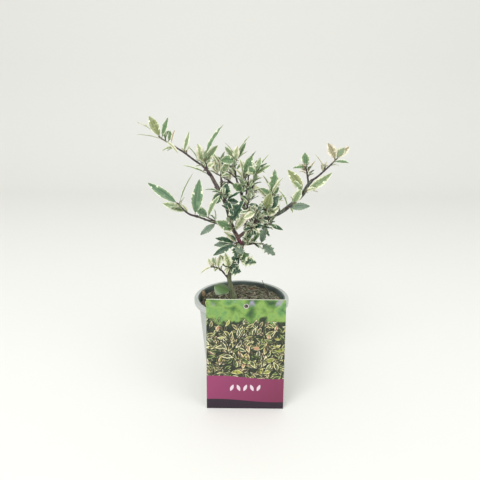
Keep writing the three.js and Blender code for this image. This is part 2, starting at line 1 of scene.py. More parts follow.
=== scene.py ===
"""Young variegated holly in a round nursery pot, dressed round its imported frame.

Blender works in metres, +Z up, with -Y the front. The growth tables are in millimetres.
"""
import random
from bisect import bisect_right
from math import atan2, ceil, cos, hypot, pi, radians, sin, sqrt

import bpy
from mathutils import Matrix, Vector, noise
from mathutils.kdtree import KDTree


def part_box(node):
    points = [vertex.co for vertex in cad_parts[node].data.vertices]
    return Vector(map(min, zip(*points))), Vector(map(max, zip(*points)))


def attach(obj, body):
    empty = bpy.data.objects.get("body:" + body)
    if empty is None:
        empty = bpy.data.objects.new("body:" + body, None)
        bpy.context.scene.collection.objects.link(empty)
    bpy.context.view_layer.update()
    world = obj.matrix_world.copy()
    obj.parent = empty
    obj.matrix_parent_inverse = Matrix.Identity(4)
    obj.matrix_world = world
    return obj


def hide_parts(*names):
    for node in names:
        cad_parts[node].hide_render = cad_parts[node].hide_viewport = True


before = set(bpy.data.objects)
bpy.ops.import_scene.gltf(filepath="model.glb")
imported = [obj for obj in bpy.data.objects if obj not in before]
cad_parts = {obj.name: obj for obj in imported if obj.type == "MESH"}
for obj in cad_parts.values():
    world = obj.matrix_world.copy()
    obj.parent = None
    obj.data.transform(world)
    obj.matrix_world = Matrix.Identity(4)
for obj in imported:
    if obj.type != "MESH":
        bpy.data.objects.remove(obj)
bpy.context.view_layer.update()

MM = 0.001
FULL_TURN = 2 * pi
X_AXIS = Vector((1, 0, 0))
Y_AXIS = Vector((0, 1, 0))
UP = Vector((0, 0, 1))
NEARLY_UP = 0.9
NOISE_OFFSETS = (0, 50)

# Camera and light, in metres. A lamp is: name, place, size of its disc, power.
CAMERA_PLACE = (-0.00247, -0.4496, 0.2916)
CAMERA_PITCH = radians(14.73)
CAMERA_ROLL = 0.0093
CAMERA_LENS = 30.8
SENSOR_WIDTH = 36
LAMPS = [("key", (-0.7, -1.0, 1.5), 0.9, 13), ("fill", (1.2, -0.9, 0.9), 1.2, 5)]
LAMP_TARGET = Vector((0, 0, 0.15))
SKY_COLOR = (1.0, 1.0, 0.99, 1.0)
SKY_STRENGTH = 0.92

# The floor and the wall it curves into, in millimetres
FLOOR_HALF_WIDTH = 4000
FLOOR_FRONT = -3000
BEND_START = 1500
BEND_RADIUS = 700
BEND_STEPS = 12
WALL_TOP = 4000

# Pot, soil and card, in millimetres
POT_HEIGHT = 105
POT_BASE_RADIUS = 40.1
POT_TAPER = 0.098
POT_WALL = 1.2
POT_FLOOR = 1.5
POT_CENTRE_RADIUS = 0.5
POT_FOOT_ROUNDING = 1
POT_ROWS = (2, 30, 60, 85, 97)
POT_INNER_ROWS = (97, 60, POT_FLOOR)
POT_SIDES = 144
RIM_RADIUS = 55
RIM_DEPTH = 5
RIM_ROUNDING = 0.7
RIM_INNER_BEVEL = 1.7
SOIL_TOP = 101
SOIL_FLAT_RADIUS = 15
SOIL_EDGE_DROP = 2.5
SOIL_BACK_RISE = 2.5
SOIL_WALL_GAP = 0.2
SOIL_TOP_GAP = 0.05
SOIL_SIDES = 120
SOIL_RINGS = 44
SOIL_ROUGHNESS = 1.1
LUMP_SCALE = 0.16
LUMP_LAYER = 3.7
LUMP_MIDDLE = 0.35
CARD_WIDTH = 83
CARD_LENGTH = 124.5
CARD_THICKNESS = 0.6
CARD_CENTRE_X = 4.6
CARD_FOOT_Y = -62.4
CARD_HOLE_RADIUS = 2.1
CARD_HOLE_DROP = 7.5
CARD_HOLE_Z = CARD_LENGTH - CARD_HOLE_DROP
CARD_HOLE_SURROUND = 4.2
CARD_CELL = 1.5
CLEARANCE = 0.33

# Chips of bark, fibres and other litter on the soil, in millimetres and shares of a chip's size
CHIPS = 1700
CHIP_SIZE = 2.8
CHIP_SIZES = (0.5, 1)
CHIP_SHAPE = ((0.7, 1.6), (0.35, 0.8), (0.2, 0.5))
CHIP_TILT = 0.7
CHIP_LEVELS = ((-0.8, 0.55), (-0.2, 1.0), (0.45, 0.85), (0.9, 0.4))
CHIP_SIDES = 7
CHIP_UNEVENNESS = (0.75, 1.15)
CHIP_FINISHES = ["chip_dark"] * 8 + ["chip_brown"] * 4 + ["chip_red"] + ["chip_pale"] * 4 + ["moss"] * 3
CHIP_WALL_GAP = 1.5
FIBRES = 420
FIBRE_LENGTH = (5, 13)
FIBRE_POINTS = 4
FIBRE_LIFT = 0.6
FIBRE_ARCH = 1.1
FIBRE_BEND = 0.5
FIBRE_THICKNESS = (0.15, 0.4)
FIBRE_TAPER = 0.5
FIBRE_FINISHES = ["chip_dark", "chip_brown", "chip_pale", "chip_pale"]
FIBRE_WALL_GAP = 6
SHEETS = [
    # root, reach, width, turn, blade, margin
    ((-15, 18, 104), (-18, 1, 6), 18, 80, "seed_leaf", "seed_margin"),
    ((-44, 10, 99), (-2, 0, 10), 7, 65, "dead_leaf", "chip_brown"),
    ((-39, -19, 99), (0, 16, 1.5), 4.5, 10, "yellow_leaf", "yellow_leaf"),
    ((-31, 24, 101), (6, 2, 1.2), 4, 20, "chip_red", "dead_leaf"),
    ((-24, 27, 101), (5, 2, 1.5), 4, 20, "dead_leaf", "chip_red"),
    ((-28, 16, 101), (6, 3, 1), 3, 20, "dead_leaf", "dead_leaf"),
    ((33.5, 12, 99.5), (-0.5, -1, 7), 2.5, 60, "chip_pale", "chip_pale"),
    ((8, 30, 102), (9, -3, 1.2), 3, 10, "chip_red", "chip_brown"),
]
SHEET_STEPS = 10
SHEET_COLUMNS = (1, 0.5, 0, -0.5, -1, -0.5, 0, 0.5)
SHEET_TOP_COLUMNS = 5
SHEET_MARGINS = (0, 3, 4, 7)
SHEET_FULLNESS = 0.6
SHEET_END = 0.01
SHEET_BOW = 0.14
SHEET_CURL = 0.35
SHEET_CREASE = 0.1
SHEET_THICKNESS = 0.3
STICKS = [
    # points, radius, finish
    ([(-17, 17, 101), (-18, 18, 102), (-19, 19, 103.5)], 0.5, "chip_pale"),
    ([(33, 30, 100), (29, 33, 106), (25.5, 36, 112)], 0.5, "chip_brown"),
    ([(8, 22, 101), (16, 24, 104), (27, 22, 102)], 0.4, "chip_pale"),
    ([(14, 34, 101), (24, 30, 104), (32, 24, 101)], 0.4, "chip_brown"),
    ([(-6, 38, 101), (2, 41, 103), (12, 38, 102)], 0.35, "chip_pale"),
    ([(20, 14, 101), (26, 10, 103), (38, 14, 100.5)], 0.35, "chip_pale"),
]
STICK_TAPER = 0.4

# Growth, in millimetres, degrees and shares
STEM_RADIUS = 1.2
TWIG_RADIUS = 0.75
TWIG_TIP_SHARE = 0.8
BLADE_FRONT_LEAN = 0.15
PACKED_DISTANCE = 1.0
GOLDEN_ANGLE = 137.5
ANGLE_SPREAD = (-20, 20)
TWIG_OFFSET_ANGLE = 70
FIRST_TWIG_PLACE = 0.6
TWIG_LEAN = (40, 54)
TWIG_SHARE = (0.55, 0.75)
LEAF_LEAN = (34, 66)
LEAF_SHARE = (0.75, 1.2)
LEAF_SLIMNESS = (0.28, 0.4)
LEAF_TURN = (-35, 65)
BARE_STEM_SHARE = 0.3
BARE_TWIG_SHARE = 0.45
LAST_LEAF_PLACE = 0.99

# Bark and twigs, in millimetres, degrees and shares
LIMB_FOOT_FLARE = 0.22
LIMB_FLARE_LENGTH = 5
LIMB_SWELLING = 0.3
LIMB_SWELLING_SCALE = 0.16
LIMB_STUBS = 7
STUB_PLACES = (0.25, 0.95)
STUB_LEAN = (50, 80)
STUB_LENGTH = (0.6, 2.4)
STUB_GIRTH = 0.75
STUB_TAPER = 0.35
SKIN_VOXEL = 0.42
RIDGE_SCALE = Vector((1.1, 1.1, 0.28))
RIDGE_HEIGHT = 0.16
GRAIN_SCALE = 2.2
GRAIN_HEIGHT = 0.06
TWIG_COLLAR = 0.45
TWIG_COLLAR_LENGTH = 2.5
TWIG_KNOT = 0.16
TWIG_KNOT_SPACING = 1.1
TWIG_GREEN_FROM = 0.8
BUD_SIZE = 2.2
BUD_RADIUS = 0.704
SPUR_RADIUS = 0.5
SPUR_TIP_SHARE = 0.75
SPUR_PLACES = (0.35, 0.95)
SPUR_LEAN = (35, 65)
SPUR_SHARE = (0.22, 0.4)
SPUR_BEND = (0.55, 0.15)
SPUR_LEAVES = 3
SPUR_LEAF_PLACE = (0.5, 0.24)
SPUR_LEAF_LEAN = (30, 60)
SPUR_LEAF_SHARE = (0.36, 0.68)
SPUR_LEAF_SLIMNESS = (0.24, 0.38)

# A leaf: its tints, then its blade and stalk, in millimetres, radians and shares
LEAF_TINTS = {
    # letter: heart, band beside it, margin, share of the half width that is green, its spread
    "d": ("dark_heart", "dark_green", "cream", 0.86, 0.07),
    "m": ("mid_heart", "mid_green", "cream", 0.82, 0.13),
    "g": ("grey_heart", "grey_green", "cream", 0.72, 0.12),
    "o": ("olive_heart", "olive_green", "cream", 0.88, 0.06),
    "p": ("pale_heart", "pale_green", "ivory", 0.5, 0.18),
    "r": ("rose_heart", "rose_tan", "ivory", 0.6, 0.15),
    "y": ("olive_heart", "pale_green", "cream", 0.55, 0.12),
    "w": ("dark_heart", "mid_green", "cream", 0.62, 0.14),
    "s": ("slate_heart", "slate_green", "grey_heart", 0.88, 0.05),
    "t": ("blue_heart", "blue_green", "cream", 0.88, 0.06),
}
UNDER_FINISHES = ["under_cream"] + ["under_green"] * 5 + ["under_cream"]
LEAF_STATIONS = 16
SPINES = (-0.18, -0.04, 0.42, -0.04)
FINE_TEETH = (-0.04, 0.1)
TOOTH_FADE = 2.6
TOOTH_SWEEP = 0.35
SPINY_TAPER = 0.7
PLAIN_TAPER = 0.24
BLADE_FULLNESS = 0.85
BLADE_END = 0.004
STALK_SHARE = 0.1
STALK_BLADE_START = 0.9
STALK_OVERLAP = 1.25
STALK_LIFT = 0.25
STALK_RADIUS = 0.5
STALK_TAPER = 0.12
LEAF_BOW = 0.07
LEAF_DROOP = (-0.03, 0.05)
LEAF_KEEL = (0.18, 0.42)
LEAF_WAVE = (0.04, 0.1)
LEAF_WAVES = 15
SPINY_WAVE = 2.2
LEAF_TWIST = (-0.35, 0.35)
LEAF_THICKNESS = 0.28
PUCKER = 0.28
MIDRIB = 0.05
MIDRIB_DEPTH = 0.036
GREEN_LIMITS = (0.2, 0.93)
HEART_SHARE = (0.4, 0.7)

# The limbs: name, points along the middle, radii from foot to tip.
LIMBS = [
    ("trunk", [(-7, 0, 97), (-10, 0, 108), (-13.5, -1, 121), (-14.5, -1, 130), (-9, 2, 147), (-1, 1, 164),
               (-5, 0, 176), (-11, 0, 187)], [4.2, 2.9, 2.6, 2.5, 2.4, 2.3, 2.3, 2.3]),
    ("bough_upper_left", [(-11, 0, 187), (-14, 2, 197), (-17, 4, 209), (-22, 6, 221), (-30, 8, 235),
                          (-37, 10, 247), (-43, 11, 254)], [2.4, 2.4, 2.3, 1.6]),
    ("bough_lower_left", [(-10, 0, 185), (-18, -1, 189), (-28, -3, 193), (-38, -6, 197),
                          (-49, -10, 202)], [1.5, 1.2, 1.1]),
    ("bough_centre", [(-1, 1, 163), (3, 6, 176), (4, 11, 198), (0, 13, 218), (-3, 12, 231)],
     [2, 1.9, 1.6]),
    ("bough_right", [(-5, 0, 176), (4, -3, 184), (15, -5, 192), (27, -5, 200), (42, -3, 206),
                     (55, -1, 216), (66, 0, 226), (70, 0, 234), (75, 0, 241)],
     [1.9, 1.9, 2, 2, 2.3, 1.8]),
    ("bough_front", [(5, -3, 185), (7, -12, 188), (8, -22, 190)], [1.4, 1.1]),
    ("bough_back", [(4, 10, 192), (6, 22, 204), (4, 34, 216)], [1.4, 1.2]),
    ("bough_back_left", [(-22, 6, 221), (-24, 16, 233), (-25, 28, 243)], [1.4, 1.1]),
    ("bough_back_right", [(8, -4, 187), (19, 9, 196), (31, 24, 208)], [1.4, 1.1]),
]

# The foliage masses: name, points along the stem, its own leaves, further leaves, side twigs, leaf
# length, seed, spurs, tints of the further leaves. A leaf is: place along the stem, reach right,
# back and up, width, turn of the blade, tint. Tints: d dark, m mid green, g grey green, o olive,
# s slate without a margin, t blue green with a thin margin, p pale, r rose, w dark and y olive with
# a wide cream margin. A capital is a spiny leaf.
MASSES = [
    ("leaves_upper_left_tip",
     [(-43, 11, 254), (-54, 13, 261), (-65, 14, 269), (-82, 16, 279), (-92, 17, 285)],
     [(0.98, -12, 2, 23, 10, 55, "o"), (0.96, 8, -2, 22, 6, 70, "m"), (0.82, 2, 5, 13, 5, 50, "m"),
      (0.9, -28, -8, 6, 5, -10, "p"), (0.97, -27, 6, 17, 5, -15, "P"), (0.75, 4, 6, 16, 3, 10, "r"),
      (0.9, 16, -7, -14, 5, 10, "p"), (0.47, 6, 4, 22, 5, 45, "g"), (0.12, -12, -6, 19, 4, 15, "g"),
      (0.03, -5, -3, 24, 10, 60, "p"), (0.05, 18, -7, 22, 9, 85, "g")],
     3, 0, 15, 11, 3, "pgmp"),
    ("leaves_upper_left_middle", [(-35, 9.5, 244), (-38, 4, 247), (-40, 3, 257), (-42, 3, 265)],
     [(0.97, 21, 0, 35, 6, 30, "m"), (0.12, -29, -5, 11, 4, 20, "g"), (0.4, 2, -4, 13, 6, -50, "m"),
      (0.55, 9, -4, 6, 6, 80, "p")],
     3, 0, 14, 12, 2, "pgm"),
    ("leaves_upper_left_inner", [(-18.5, 4.6, 213), (-20, 0, 220), (-23, -1, 227)],
     [(0.4, 2, 4, 18, 12, 5, "d"), (0.95, -10, -12, -9, 11, 55, "d"), (0.97, -18, -3, 4, 4, 10, "m"),
      (0.3, 18, -6, 12, 5, 30, "d"), (0.4, 9, -8, -9, 9, 70, "d"), (0.3, 15, -4, 0, 8, 65, "d")],
     4, 0, 14, 13, 1, "dmg"),
    ("leaves_lower_left_tip", [(-49, -10, 202), (-57, -13, 205), (-63, -15, 210), (-68, -18, 217)],
     [(0.98, -31, -4, 23, 9, 70, "t"), (0.97, 15, 5, 33, 5, -15, "m"), (0.12, 6, -3, 40, 12, 68, "t"),
      (0.5, -24, -9, 11, 9, 50, "g")],
     3, 0, 16, 14, 1, "pg"),
    ("leaves_lower_left_inner", [(-26, -2.6, 192), (-31, -8, 197), (-38, -10, 201)],
     [(0.25, -18, -5, -13, 7, 50, "s"), (0.95, -14, 2, 12, 9, 60, "t"), (0.97, 14, -8, 26, 7, 60, "g"),
      (0.35, -7, -3, 9, 4, 15, "m")],
     3, 0, 15, 15, 1, "mdg"),
    ("leaves_fork", [(-8, 0, 181), (-10, -6, 188), (-13, -9, 196)],
     [(0.97, 14, -11, 27, 13, 85, "D"), (0.3, -20, -6, 12, 11, 66, "m"), (0.9, -5, -6, 8, 4, -70, "D"),
      (0.25, 23, -14, 33, 9, 85, "p"), (0.3, 6, -7, 16, 5, -70, "g"), (0.28, 12, -9, 14, 6, 70, "p")],
     2, 0, 15, 16, 1, "dmp"),
    ("leaves_centre_left", [(-3, 12, 231), (-6, 12, 237), (-8, 13, 246), (-9, 14, 254), (-8, 14, 262)],
     [(0.97, -17, -4, 0, 10, 65, "m"), (0.96, -12, 3, 15, 7, 50, "g"), (0.98, -12, -5, 19, 4, 0, "g"),
      (0.97, 2, -2, 16, 8, 65, "p"), (0.98, 15, -1, 26, 5, 5, "g"), (0.9, 12, 5, 22, 5, 45, "m"),
      (0.95, 13, -8, 11, 4, 20, "g"), (0.6, -5, -4, 10, 4, 20, "d")],
     8, 1, 14, 17, 4, "pgmp"),
    ("leaves_centre_side",
     [(-2.2, 12.4, 227.5), (-8, 15, 232), (-14, 16, 237), (-22, 17, 242), (-30, 17, 246)],
     [(0.85, 10, -4, 16, 8, 85, "g"), (0.95, -5, -2, 21, 6, 40, "p"), (0.97, -9, -3, 4, 4, 20, "g"),
      (0.97, 4, 3, 15, 5, 40, "p"), (0.97, 1, -5, 12, 6, 20, "p"), (0.9, -9, -3, 12, 5, 60, "p"),
      (0.75, 1, -3, 10, 5, 20, "y")],
     3, 1, 12, 18, 3, "pgmp"),
    ("leaves_centre_right", [(1, 12.5, 213), (8, 8, 224), (11, 5, 233), (12, 4, 240), (14, 3, 247)],
     [(0.97, -8, -3, 10, 8, 85, "m"), (0.98, 5, 2, 18, 8, 50, "g"), (0.95, 15, 4, 23, 4, 0, "g"),
      (0.98, 12, -4, 13, 6, 25, "d"), (0.96, 16, -7, 12, 6, 50, "g"), (0.75, 3, -6, 9, 5, -45, "o"),
      (0.97, -11, -7, 3, 5, 35, "p"), (0.72, 10, -4, 7, 4, 15, "g"), (0.55, 9, -5, 2, 5, 40, "p"),
      (0.6, -7, -6, -2, 4, 30, "d"), (0.1, 8, -15, 16, 9, -75, "Y")],
     6, 1, 15, 19, 4, "gmpd"),
    ("leaves_centre_low", [(3.5, 9, 190), (4, 0, 205), (7, -8, 221)],
     [(0.98, 0, -3, 10, 5, 50, "p"), (0.75, 12, -6, 12, 4, 5, "d"), (0.82, 13, -4, -3, 5, 40, "d"),
      (0.9, -8, -6, 8, 5, 40, "d")],
     8, 1, 13, 20, 6, "dgpd"),
    ("leaves_centre_top", [(-1, 12.8, 223), (1, 9, 231), (1, 9, 239), (1, 10, 247)],
     [(0.97, 9, -3, 21, 10, 85, "m"), (0.95, 14, 4, 26, 4, 5, "d"), (0.35, -3, -5, 14, 5, -50, "r"),
      (0.3, 5, -4, 11, 6, 55, "g"), (0.97, -5, -2, 17, 6, 55, "p"), (0.95, 7, -3, 6, 5, 50, "m"),
      (0.2, -12, -4, 9, 9, 75, "m")],
     8, 1, 15, 37, 3, "gmp"),
    ("leaves_front", [(8, -22, 190), (11, -28, 197), (13, -31, 205), (14, -33, 213)],
     [(0.05, -5, -12, 22, 9, 75, "p"), (0.97, -13, -5, -6, 7, 55, "p"), (0.3, 12, -8, 2, 6, 60, "D")],
     22, 3, 12, 21, 38, "DdwdP"),
    ("leaves_front_left", [(-15, 3, 202), (-14, -6, 207), (-14, -14, 212)],
     [], 4, 0, 12, 38, 1, "dDd"),
    ("leaves_right_inner", [(24, -5, 198), (25, -11, 207), (26, -14, 211)],
     [(0.85, 4, -4, 20, 11, 85, "o"), (0.8, 13, 2, 17, 12, 62, "d"), (0.4, 15, -5, 10, 8, 80, "p")],
     8, 0, 14, 22, 4, "dmgd"),
    ("leaves_right_upper", [(31, -4.5, 201.5), (32, 1, 213), (32, 4, 224)],
     [(0.98, 3, 2, 29, 10, 30, "M"), (0.95, 12, -4, 21, 5, 35, "p"),
      (0.97, -10, 3, 22, 4, 5, "g"), (0.93, -13, -5, 10, 7, 60, "m"), (0.8, -16, 3, 12, 7, 50, "p"),
      (0.93, 10, -5, 0, 4, 30, "m")],
     5, 1, 15, 23, 2, "mgp"),
    ("leaves_right_under", [(14, -5, 191), (22, -7, 190), (30, -7, 194)],
     [(0.98, 15, -4, -6, 5, 60, "d"), (0.95, 8, -4, 10, 5, 30, "g")],
     8, 0, 12, 24, 4, "dDm"),
    ("leaves_right_middle", [(47, -2.3, 210), (51, -7, 213), (56, -8, 217)],
     [(0.97, 7, -2, 16, 9, 60, "g"), (0.35, 23, -6, 3, 8, 62, "s"), (0.3, -10, 2, 19, 4, 10, "g")],
     3, 0, 13, 25, 1, "gmp"),
    ("leaves_right_bend", [(66, 0, 226), (66, -4, 228), (68, -7, 230)],
     [(0.5, -18, -2, 25, 11, 66, "o"), (0.9, 27, -3, 21, 9, 85, "g"), (0.95, 11, -6, 5, 5, 45, "P"),
      (0.45, -14, -6, 14, 8, 60, "g")],
     2, 0, 13, 26, 1, "gp"),
    ("leaves_right_tip", [(75, 0, 241), (81, 1, 245), (94, 2, 257), (102, 3, 265)],
     [(0.93, -10, -2, 18, 10, 80, "r"), (0.98, 13, 2, 13, 8, 55, "r"), (0.97, 6, -6, 12, 10, -60, "r"),
      (0.86, 15, -6, -1, 5, 35, "m"), (0.5, -11, 3, 17, 3, 0, "r"), (0.42, -2, 2, 8, 3, 10, "r")],
     3, 0, 12, 27, 2, "pr"),
    ("leaves_right_fork", [(72, 0, 237), (71, 3, 244), (70, 4, 250), (69, 6, 257)],
     [(0.98, -2, 1, 14, 9, 45, "m"), (0.85, -15, -3, 0, 5, 35, "m"), (0.5, -9, -3, 4, 4, 20, "r"),
      (0.75, 5, -3, 4, 4, 30, "d"), (0.55, 9, 3, 14, 4, 5, "r")],
     3, 0, 11, 28, 5, "rs"),
    ("leaves_low_right", [(-1.6, 0.8, 168), (7, -6, 170), (14, -9, 172), (22, -10, 172)],
     [(0.15, 12, -12, 19, 11, 80, "w"), (0.15, -1, -12, 23, 7, 75, "p"), (0.98, 15, -5, -12, 9, 50, "S"),
      (0.97, 5, -6, 20, 8, 85, "s"), (0.62, 12, 2, -8, 4, 5, "p"), (0.6, 10, -3, 17, 6, 45, "m")],
     10, 1, 11, 29, 6, "WmPd"),
    ("leaves_trunk_left", [(-3, 0.4, 171), (-7, -6, 171)],
     [(0.8, -24, -3, 6, 7, 40, "d"), (0.9, -25, 4, -4, 8, 50, "s"), (0.85, -26, -6, -13, 8, 52, "d"),
      (0.95, 0, -4, -16, 9, 0, "D"), (0.95, 8, -6, -11, 8, 50, "S"), (0.6, -15, -6, 14, 7, 60, "p")],
     2, 0, 13, 30, 1, "dp"),
    ("leaves_trunk_right", [(-5.6, 1.6, 154), (-2, -5, 152)],
     [(0.85, 19, -5, -3, 12, 64, "W"), (0.8, 11, -6, 8, 11, 75, "M"), (0.7, -10, -5, 1, 7, 60, "d"),
      (0.6, 3, -6, 6, 7, 20, "D"), (0.9, 9, -2, -6, 6, 60, "y"),
      (0.7, 6, -8, 12, 10, 70, "M")],
     2, 0, 11, 31, 2, "DMd"),
    ("leaves_trunk_low", [(-12, 0.8, 140), (-14, -5, 142)],
     [(0.9, 13, -6, -3, 12, 60, "D"), (0.9, -5, -3, 18, 10, 85, "y"), (0.8, -9, -3, 5, 5, 50, "d"),
      (0.95, -6, -3, -3, 5, 45, "p"), (0.7, 9, -6, 6, 8, 70, "D"),
      (0.8, -11, -3, 16, 6, 60, "y")],
     2, 0, 10, 32, 1, "Dp"),
    ("leaves_foot_shoot", [(-15.6, -1, 128), (-20, -3, 134), (-25, -4, 140), (-34, -8, 144)],
     [(0.95, -14, -2, -8, 5, 5, "p"), (0.93, 0, -2, 12, 6, -5, "y"), (0.97, -5, 2, 9, 6, 45, "p"),
      (0.7, 3, 0, 16, 6, 50, "p"), (0.78, -1, 3, 12, 5, 40, "p"), (0.5, 2, -9, 10, 4, 40, "p")],
     3, 0, 9, 33, 3, "pgp"),
    ("leaves_back", [(4, 34, 216), (6, 42, 231), (8, 48, 252)],
     [], 10, 3, 17, 34, 7, "dmgp"),
    ("leaves_back_left", [(-25, 28, 243), (-25, 36, 250), (-24, 43, 258)],
     [], 10, 2, 17, 35, 8, "dmgp"),
    ("leaves_back_right", [(31, 24, 208), (33, 32, 209), (36, 39, 212)],
     [], 10, 2, 14, 36, 8, "dmgp"),
]


# ---- paths and the growth rule

class Path:
    """A smooth path through points (centripetal Catmull-Rom), read by share of its length."""

    DIVISIONS = 200
    NUDGE = 0.0001

    def __init__(self, points):
        self.points = [Vector(point) for point in points]
        places = [self.point(step / self.DIVISIONS) for step in range(self.DIVISIONS + 1)]
        self.lengths = [0.0]
        for before, after in zip(places, places[1:]):
            self.lengths.append(self.lengths[-1] + (after - before).length)
        self.length = self.lengths[-1]

    def point(self, t):
        points = self.points
        last = len(points) - 1
        at = t * last
        index = min(int(at), last - 1)
        weight = at - index
        start, end = points[index], points[index + 1]
        before = points[index - 1] if index > 0 else start * 2 - end
        after = points[index + 2] if index + 2 <= last else end * 2 - start
        gap_before = (before - start).length ** 0.5
        gap = (start - end).length ** 0.5
        gap_after = (end - after).length ** 0.5
        slope = (start - before) / gap_before - (end - before) / (gap_before + gap) + (end - start) / gap
        end_slope = (end - start) / gap - (after - start) / (gap + gap_after) + (after - end) / gap_after
        slope = slope * gap
        end_slope = end_slope * gap
        square = weight * weight
        cube = square * weight
        return (start + slope * weight + (end * 3 - start * 3 - slope * 2 - end_slope) * square
                + (start * 2 - end * 2 + slope + end_slope) * cube)

    def parameter(self, share):
        target = share * self.length
        low = min(max(bisect_right(self.lengths, target), 1), self.DIVISIONS) - 1
        span = self.lengths[low + 1] - self.lengths[low]
        return (low + (target - self.lengths[low]) / span) / self.DIVISIONS

    def at(self, share):
        return self.point(self.parameter(share))

    def tangent(self, share):
        t = self.parameter(share)
        return (self.point(min(1, t + self.NUDGE)) - self.point(max(0, t - self.NUDGE))).normalized()


def random_stream(seed):
    """The frame's repeatable stream of numbers from 0 to 1 (the mulberry32 rule)."""
    mask = 0xFFFFFFFF
    state = seed & mask

    def draw():
        nonlocal state
        state = (state + 0x6D2B79F5) & mask
        mixed = ((state ^ (state >> 15)) * (state | 1)) & mask
        mixed ^= (mixed + (((mixed ^ (mixed >> 7)) * (mixed | 61)) & mask)) & mask
        return ((mixed ^ (mixed >> 14)) & mask) / 4294967296

    return draw


def leaning_from(tangent, around, lean):
    """The direction at an angle around a stem, leaning from it by another angle, in degrees."""
    side = UP.cross(tangent).normalized()
    top = tangent.cross(side)
    turned, leaned = radians(around), radians(lean)
    out = side * cos(turned) + top * sin(turned)
    return tangent * cos(leaned) + out * sin(leaned)


def blade_axes(reach, turn):
    """A blade's axis, the way it faces and its width. It faces up at turn 0, then more to the front."""
    axis = reach.normalized()
    lean = Vector((0, -BLADE_FRONT_LEAN, 1))
    upward = (lean - axis * lean.dot(axis)).normalized()
    frontward = upward.cross(axis)
    if frontward.y > 0:
        frontward.negate()
    angle = radians(turn)
    normal = upward * cos(angle) + frontward * sin(angle)
    return axis, normal, normal.cross(axis)


def seeded_growth(stem, more, twig_count, length, seed):
    """The side twigs and further leaves that the frame's rule deals out around a stem."""
    draw = random_stream(seed)

    def between(limits):
        return limits[0] + (limits[1] - limits[0]) * draw()

    start = draw() * 360
    twigs = []
    for index in range(twig_count):
        place = (index + FIRST_TWIG_PLACE) / (twig_count + FIRST_TWIG_PLACE)
        around = start + TWIG_OFFSET_ANGLE + index * GOLDEN_ANGLE
        direction = leaning_from(stem.tangent(place), around, between(TWIG_LEAN))
        root = stem.at(place)
        twigs.append(Path([root, root + direction * length * between(TWIG_SHARE)]))
    carriers = [stem, *twigs]
    ranks = ceil(more / len(carriers))
    leaves = []
    for index in range(more):
        carrier = carriers[index % len(carriers)]
        rank = index // len(carriers)
        bare = BARE_STEM_SHARE if carrier is stem else BARE_TWIG_SHARE
        place = min(LAST_LEAF_PLACE, bare + (1 - BARE_STEM_SHARE) * (rank + 0.5) / ranks)
        around = start + index * GOLDEN_ANGLE + between(ANGLE_SPREAD)
        direction = leaning_from(carrier.tangent(place), around, between(LEAF_LEAN))
        leaf_length = length * between(LEAF_SHARE)
        width = leaf_length * between(LEAF_SLIMNESS)
        leaves.append((carrier.at(place), direction * leaf_length, width, between(LEAF_TURN)))
    return twigs, leaves


# ---- meshes

def steady(value):
    """A function as it is, or a plain value as a function that always gives it."""
    return value if callable(value) else lambda *places: value


class Shape:
    """Points and faces gathered for one piece, in millimetres, each face with its finish's name."""

    def __init__(self):
        self.points = []
        self.faces = []
        self.finishes = []

    def add_face(self, corners, finish, backwards=False):
        self.faces.append(corners[::-1] if backwards else corners)
        self.finishes.append(finish)

    def add_rings(self, rings, finish, start=None, end=None):
        """Joins rings of equally many points. finish is a name, or names one by ring and side."""
        pick = steady(finish)
        first = len(self.points)
        sides = len(rings[0])
        for ring in rings:
            self.points.extend(ring)
        for ring in range(len(rings) - 1):
            here = first + ring * sides
            beyond = here + sides
            for side in range(sides):
                following = (side + 1) % sides
                self.add_face([here + side, here + following, beyond + following, beyond + side],
                              pick(ring, side))
        last = len(rings) - 1
        self.close(first, sides, start, lambda side: pick(0, side), True)
        self.close(first + last * sides, sides, end, lambda side: pick(last - 1, side), False)

    def close(self, first, sides, tip, pick, backwards):
        """Closes a ring with a fan to a tip, or with one flat face."""
        if tip is None:
            self.add_face(list(range(first, first + sides)), pick(0), backwards)
            return
        self.points.append(tip)
        centre = len(self.points) - 1
        for side in range(sides):
            edge = [first + side, first + (side + 1) % sides]
            self.add_face((edge[::-1] if backwards else edge) + [centre], pick(side))

    def build(self, name, finishes, sharp=None):
        """Makes the object, in metres, smooth but for edges sharper than an angle in degrees."""
        mesh = bpy.data.meshes.new(name)
        mesh.from_pydata([point * MM for point in self.points], [], self.faces)
        names = sorted(set(self.finishes))
        for key in names:
            mesh.materials.append(finishes[key])
        order = {key: index for index, key in enumerate(names)}
        mesh.polygons.foreach_set("material_index", [order[key] for key in self.finishes])
        mesh.polygons.foreach_set("use_smooth", [True] * len(self.faces))
        if sharp is not None:
            mesh.set_sharp_from_angle(angle=radians(sharp))
        mesh.update()
        return add_object(name, mesh)


def add_object(name, data):
    added = bpy.data.objects.new(name, data)
    bpy.context.scene.collection.objects.link(added)
    return added


def circle(centre, across, along, radius, sides):
    """A ring of points round a centre."""
    ring = []
    for side in range(sides):
        angle = FULL_TURN * side / sides
        ring.append(centre + across * (cos(angle) * radius) + along * (sin(angle) * radius))
    return ring


def level_circle(height, radius, sides):
    return circle(UP * height, X_AXIS, Y_AXIS, radius, sides)


def radius_along(radii, place):
    at = place * (len(radii) - 1)
    low = min(int(at), len(radii) - 2)
    return radii[low] + (radii[low + 1] - radii[low]) * (at - low)


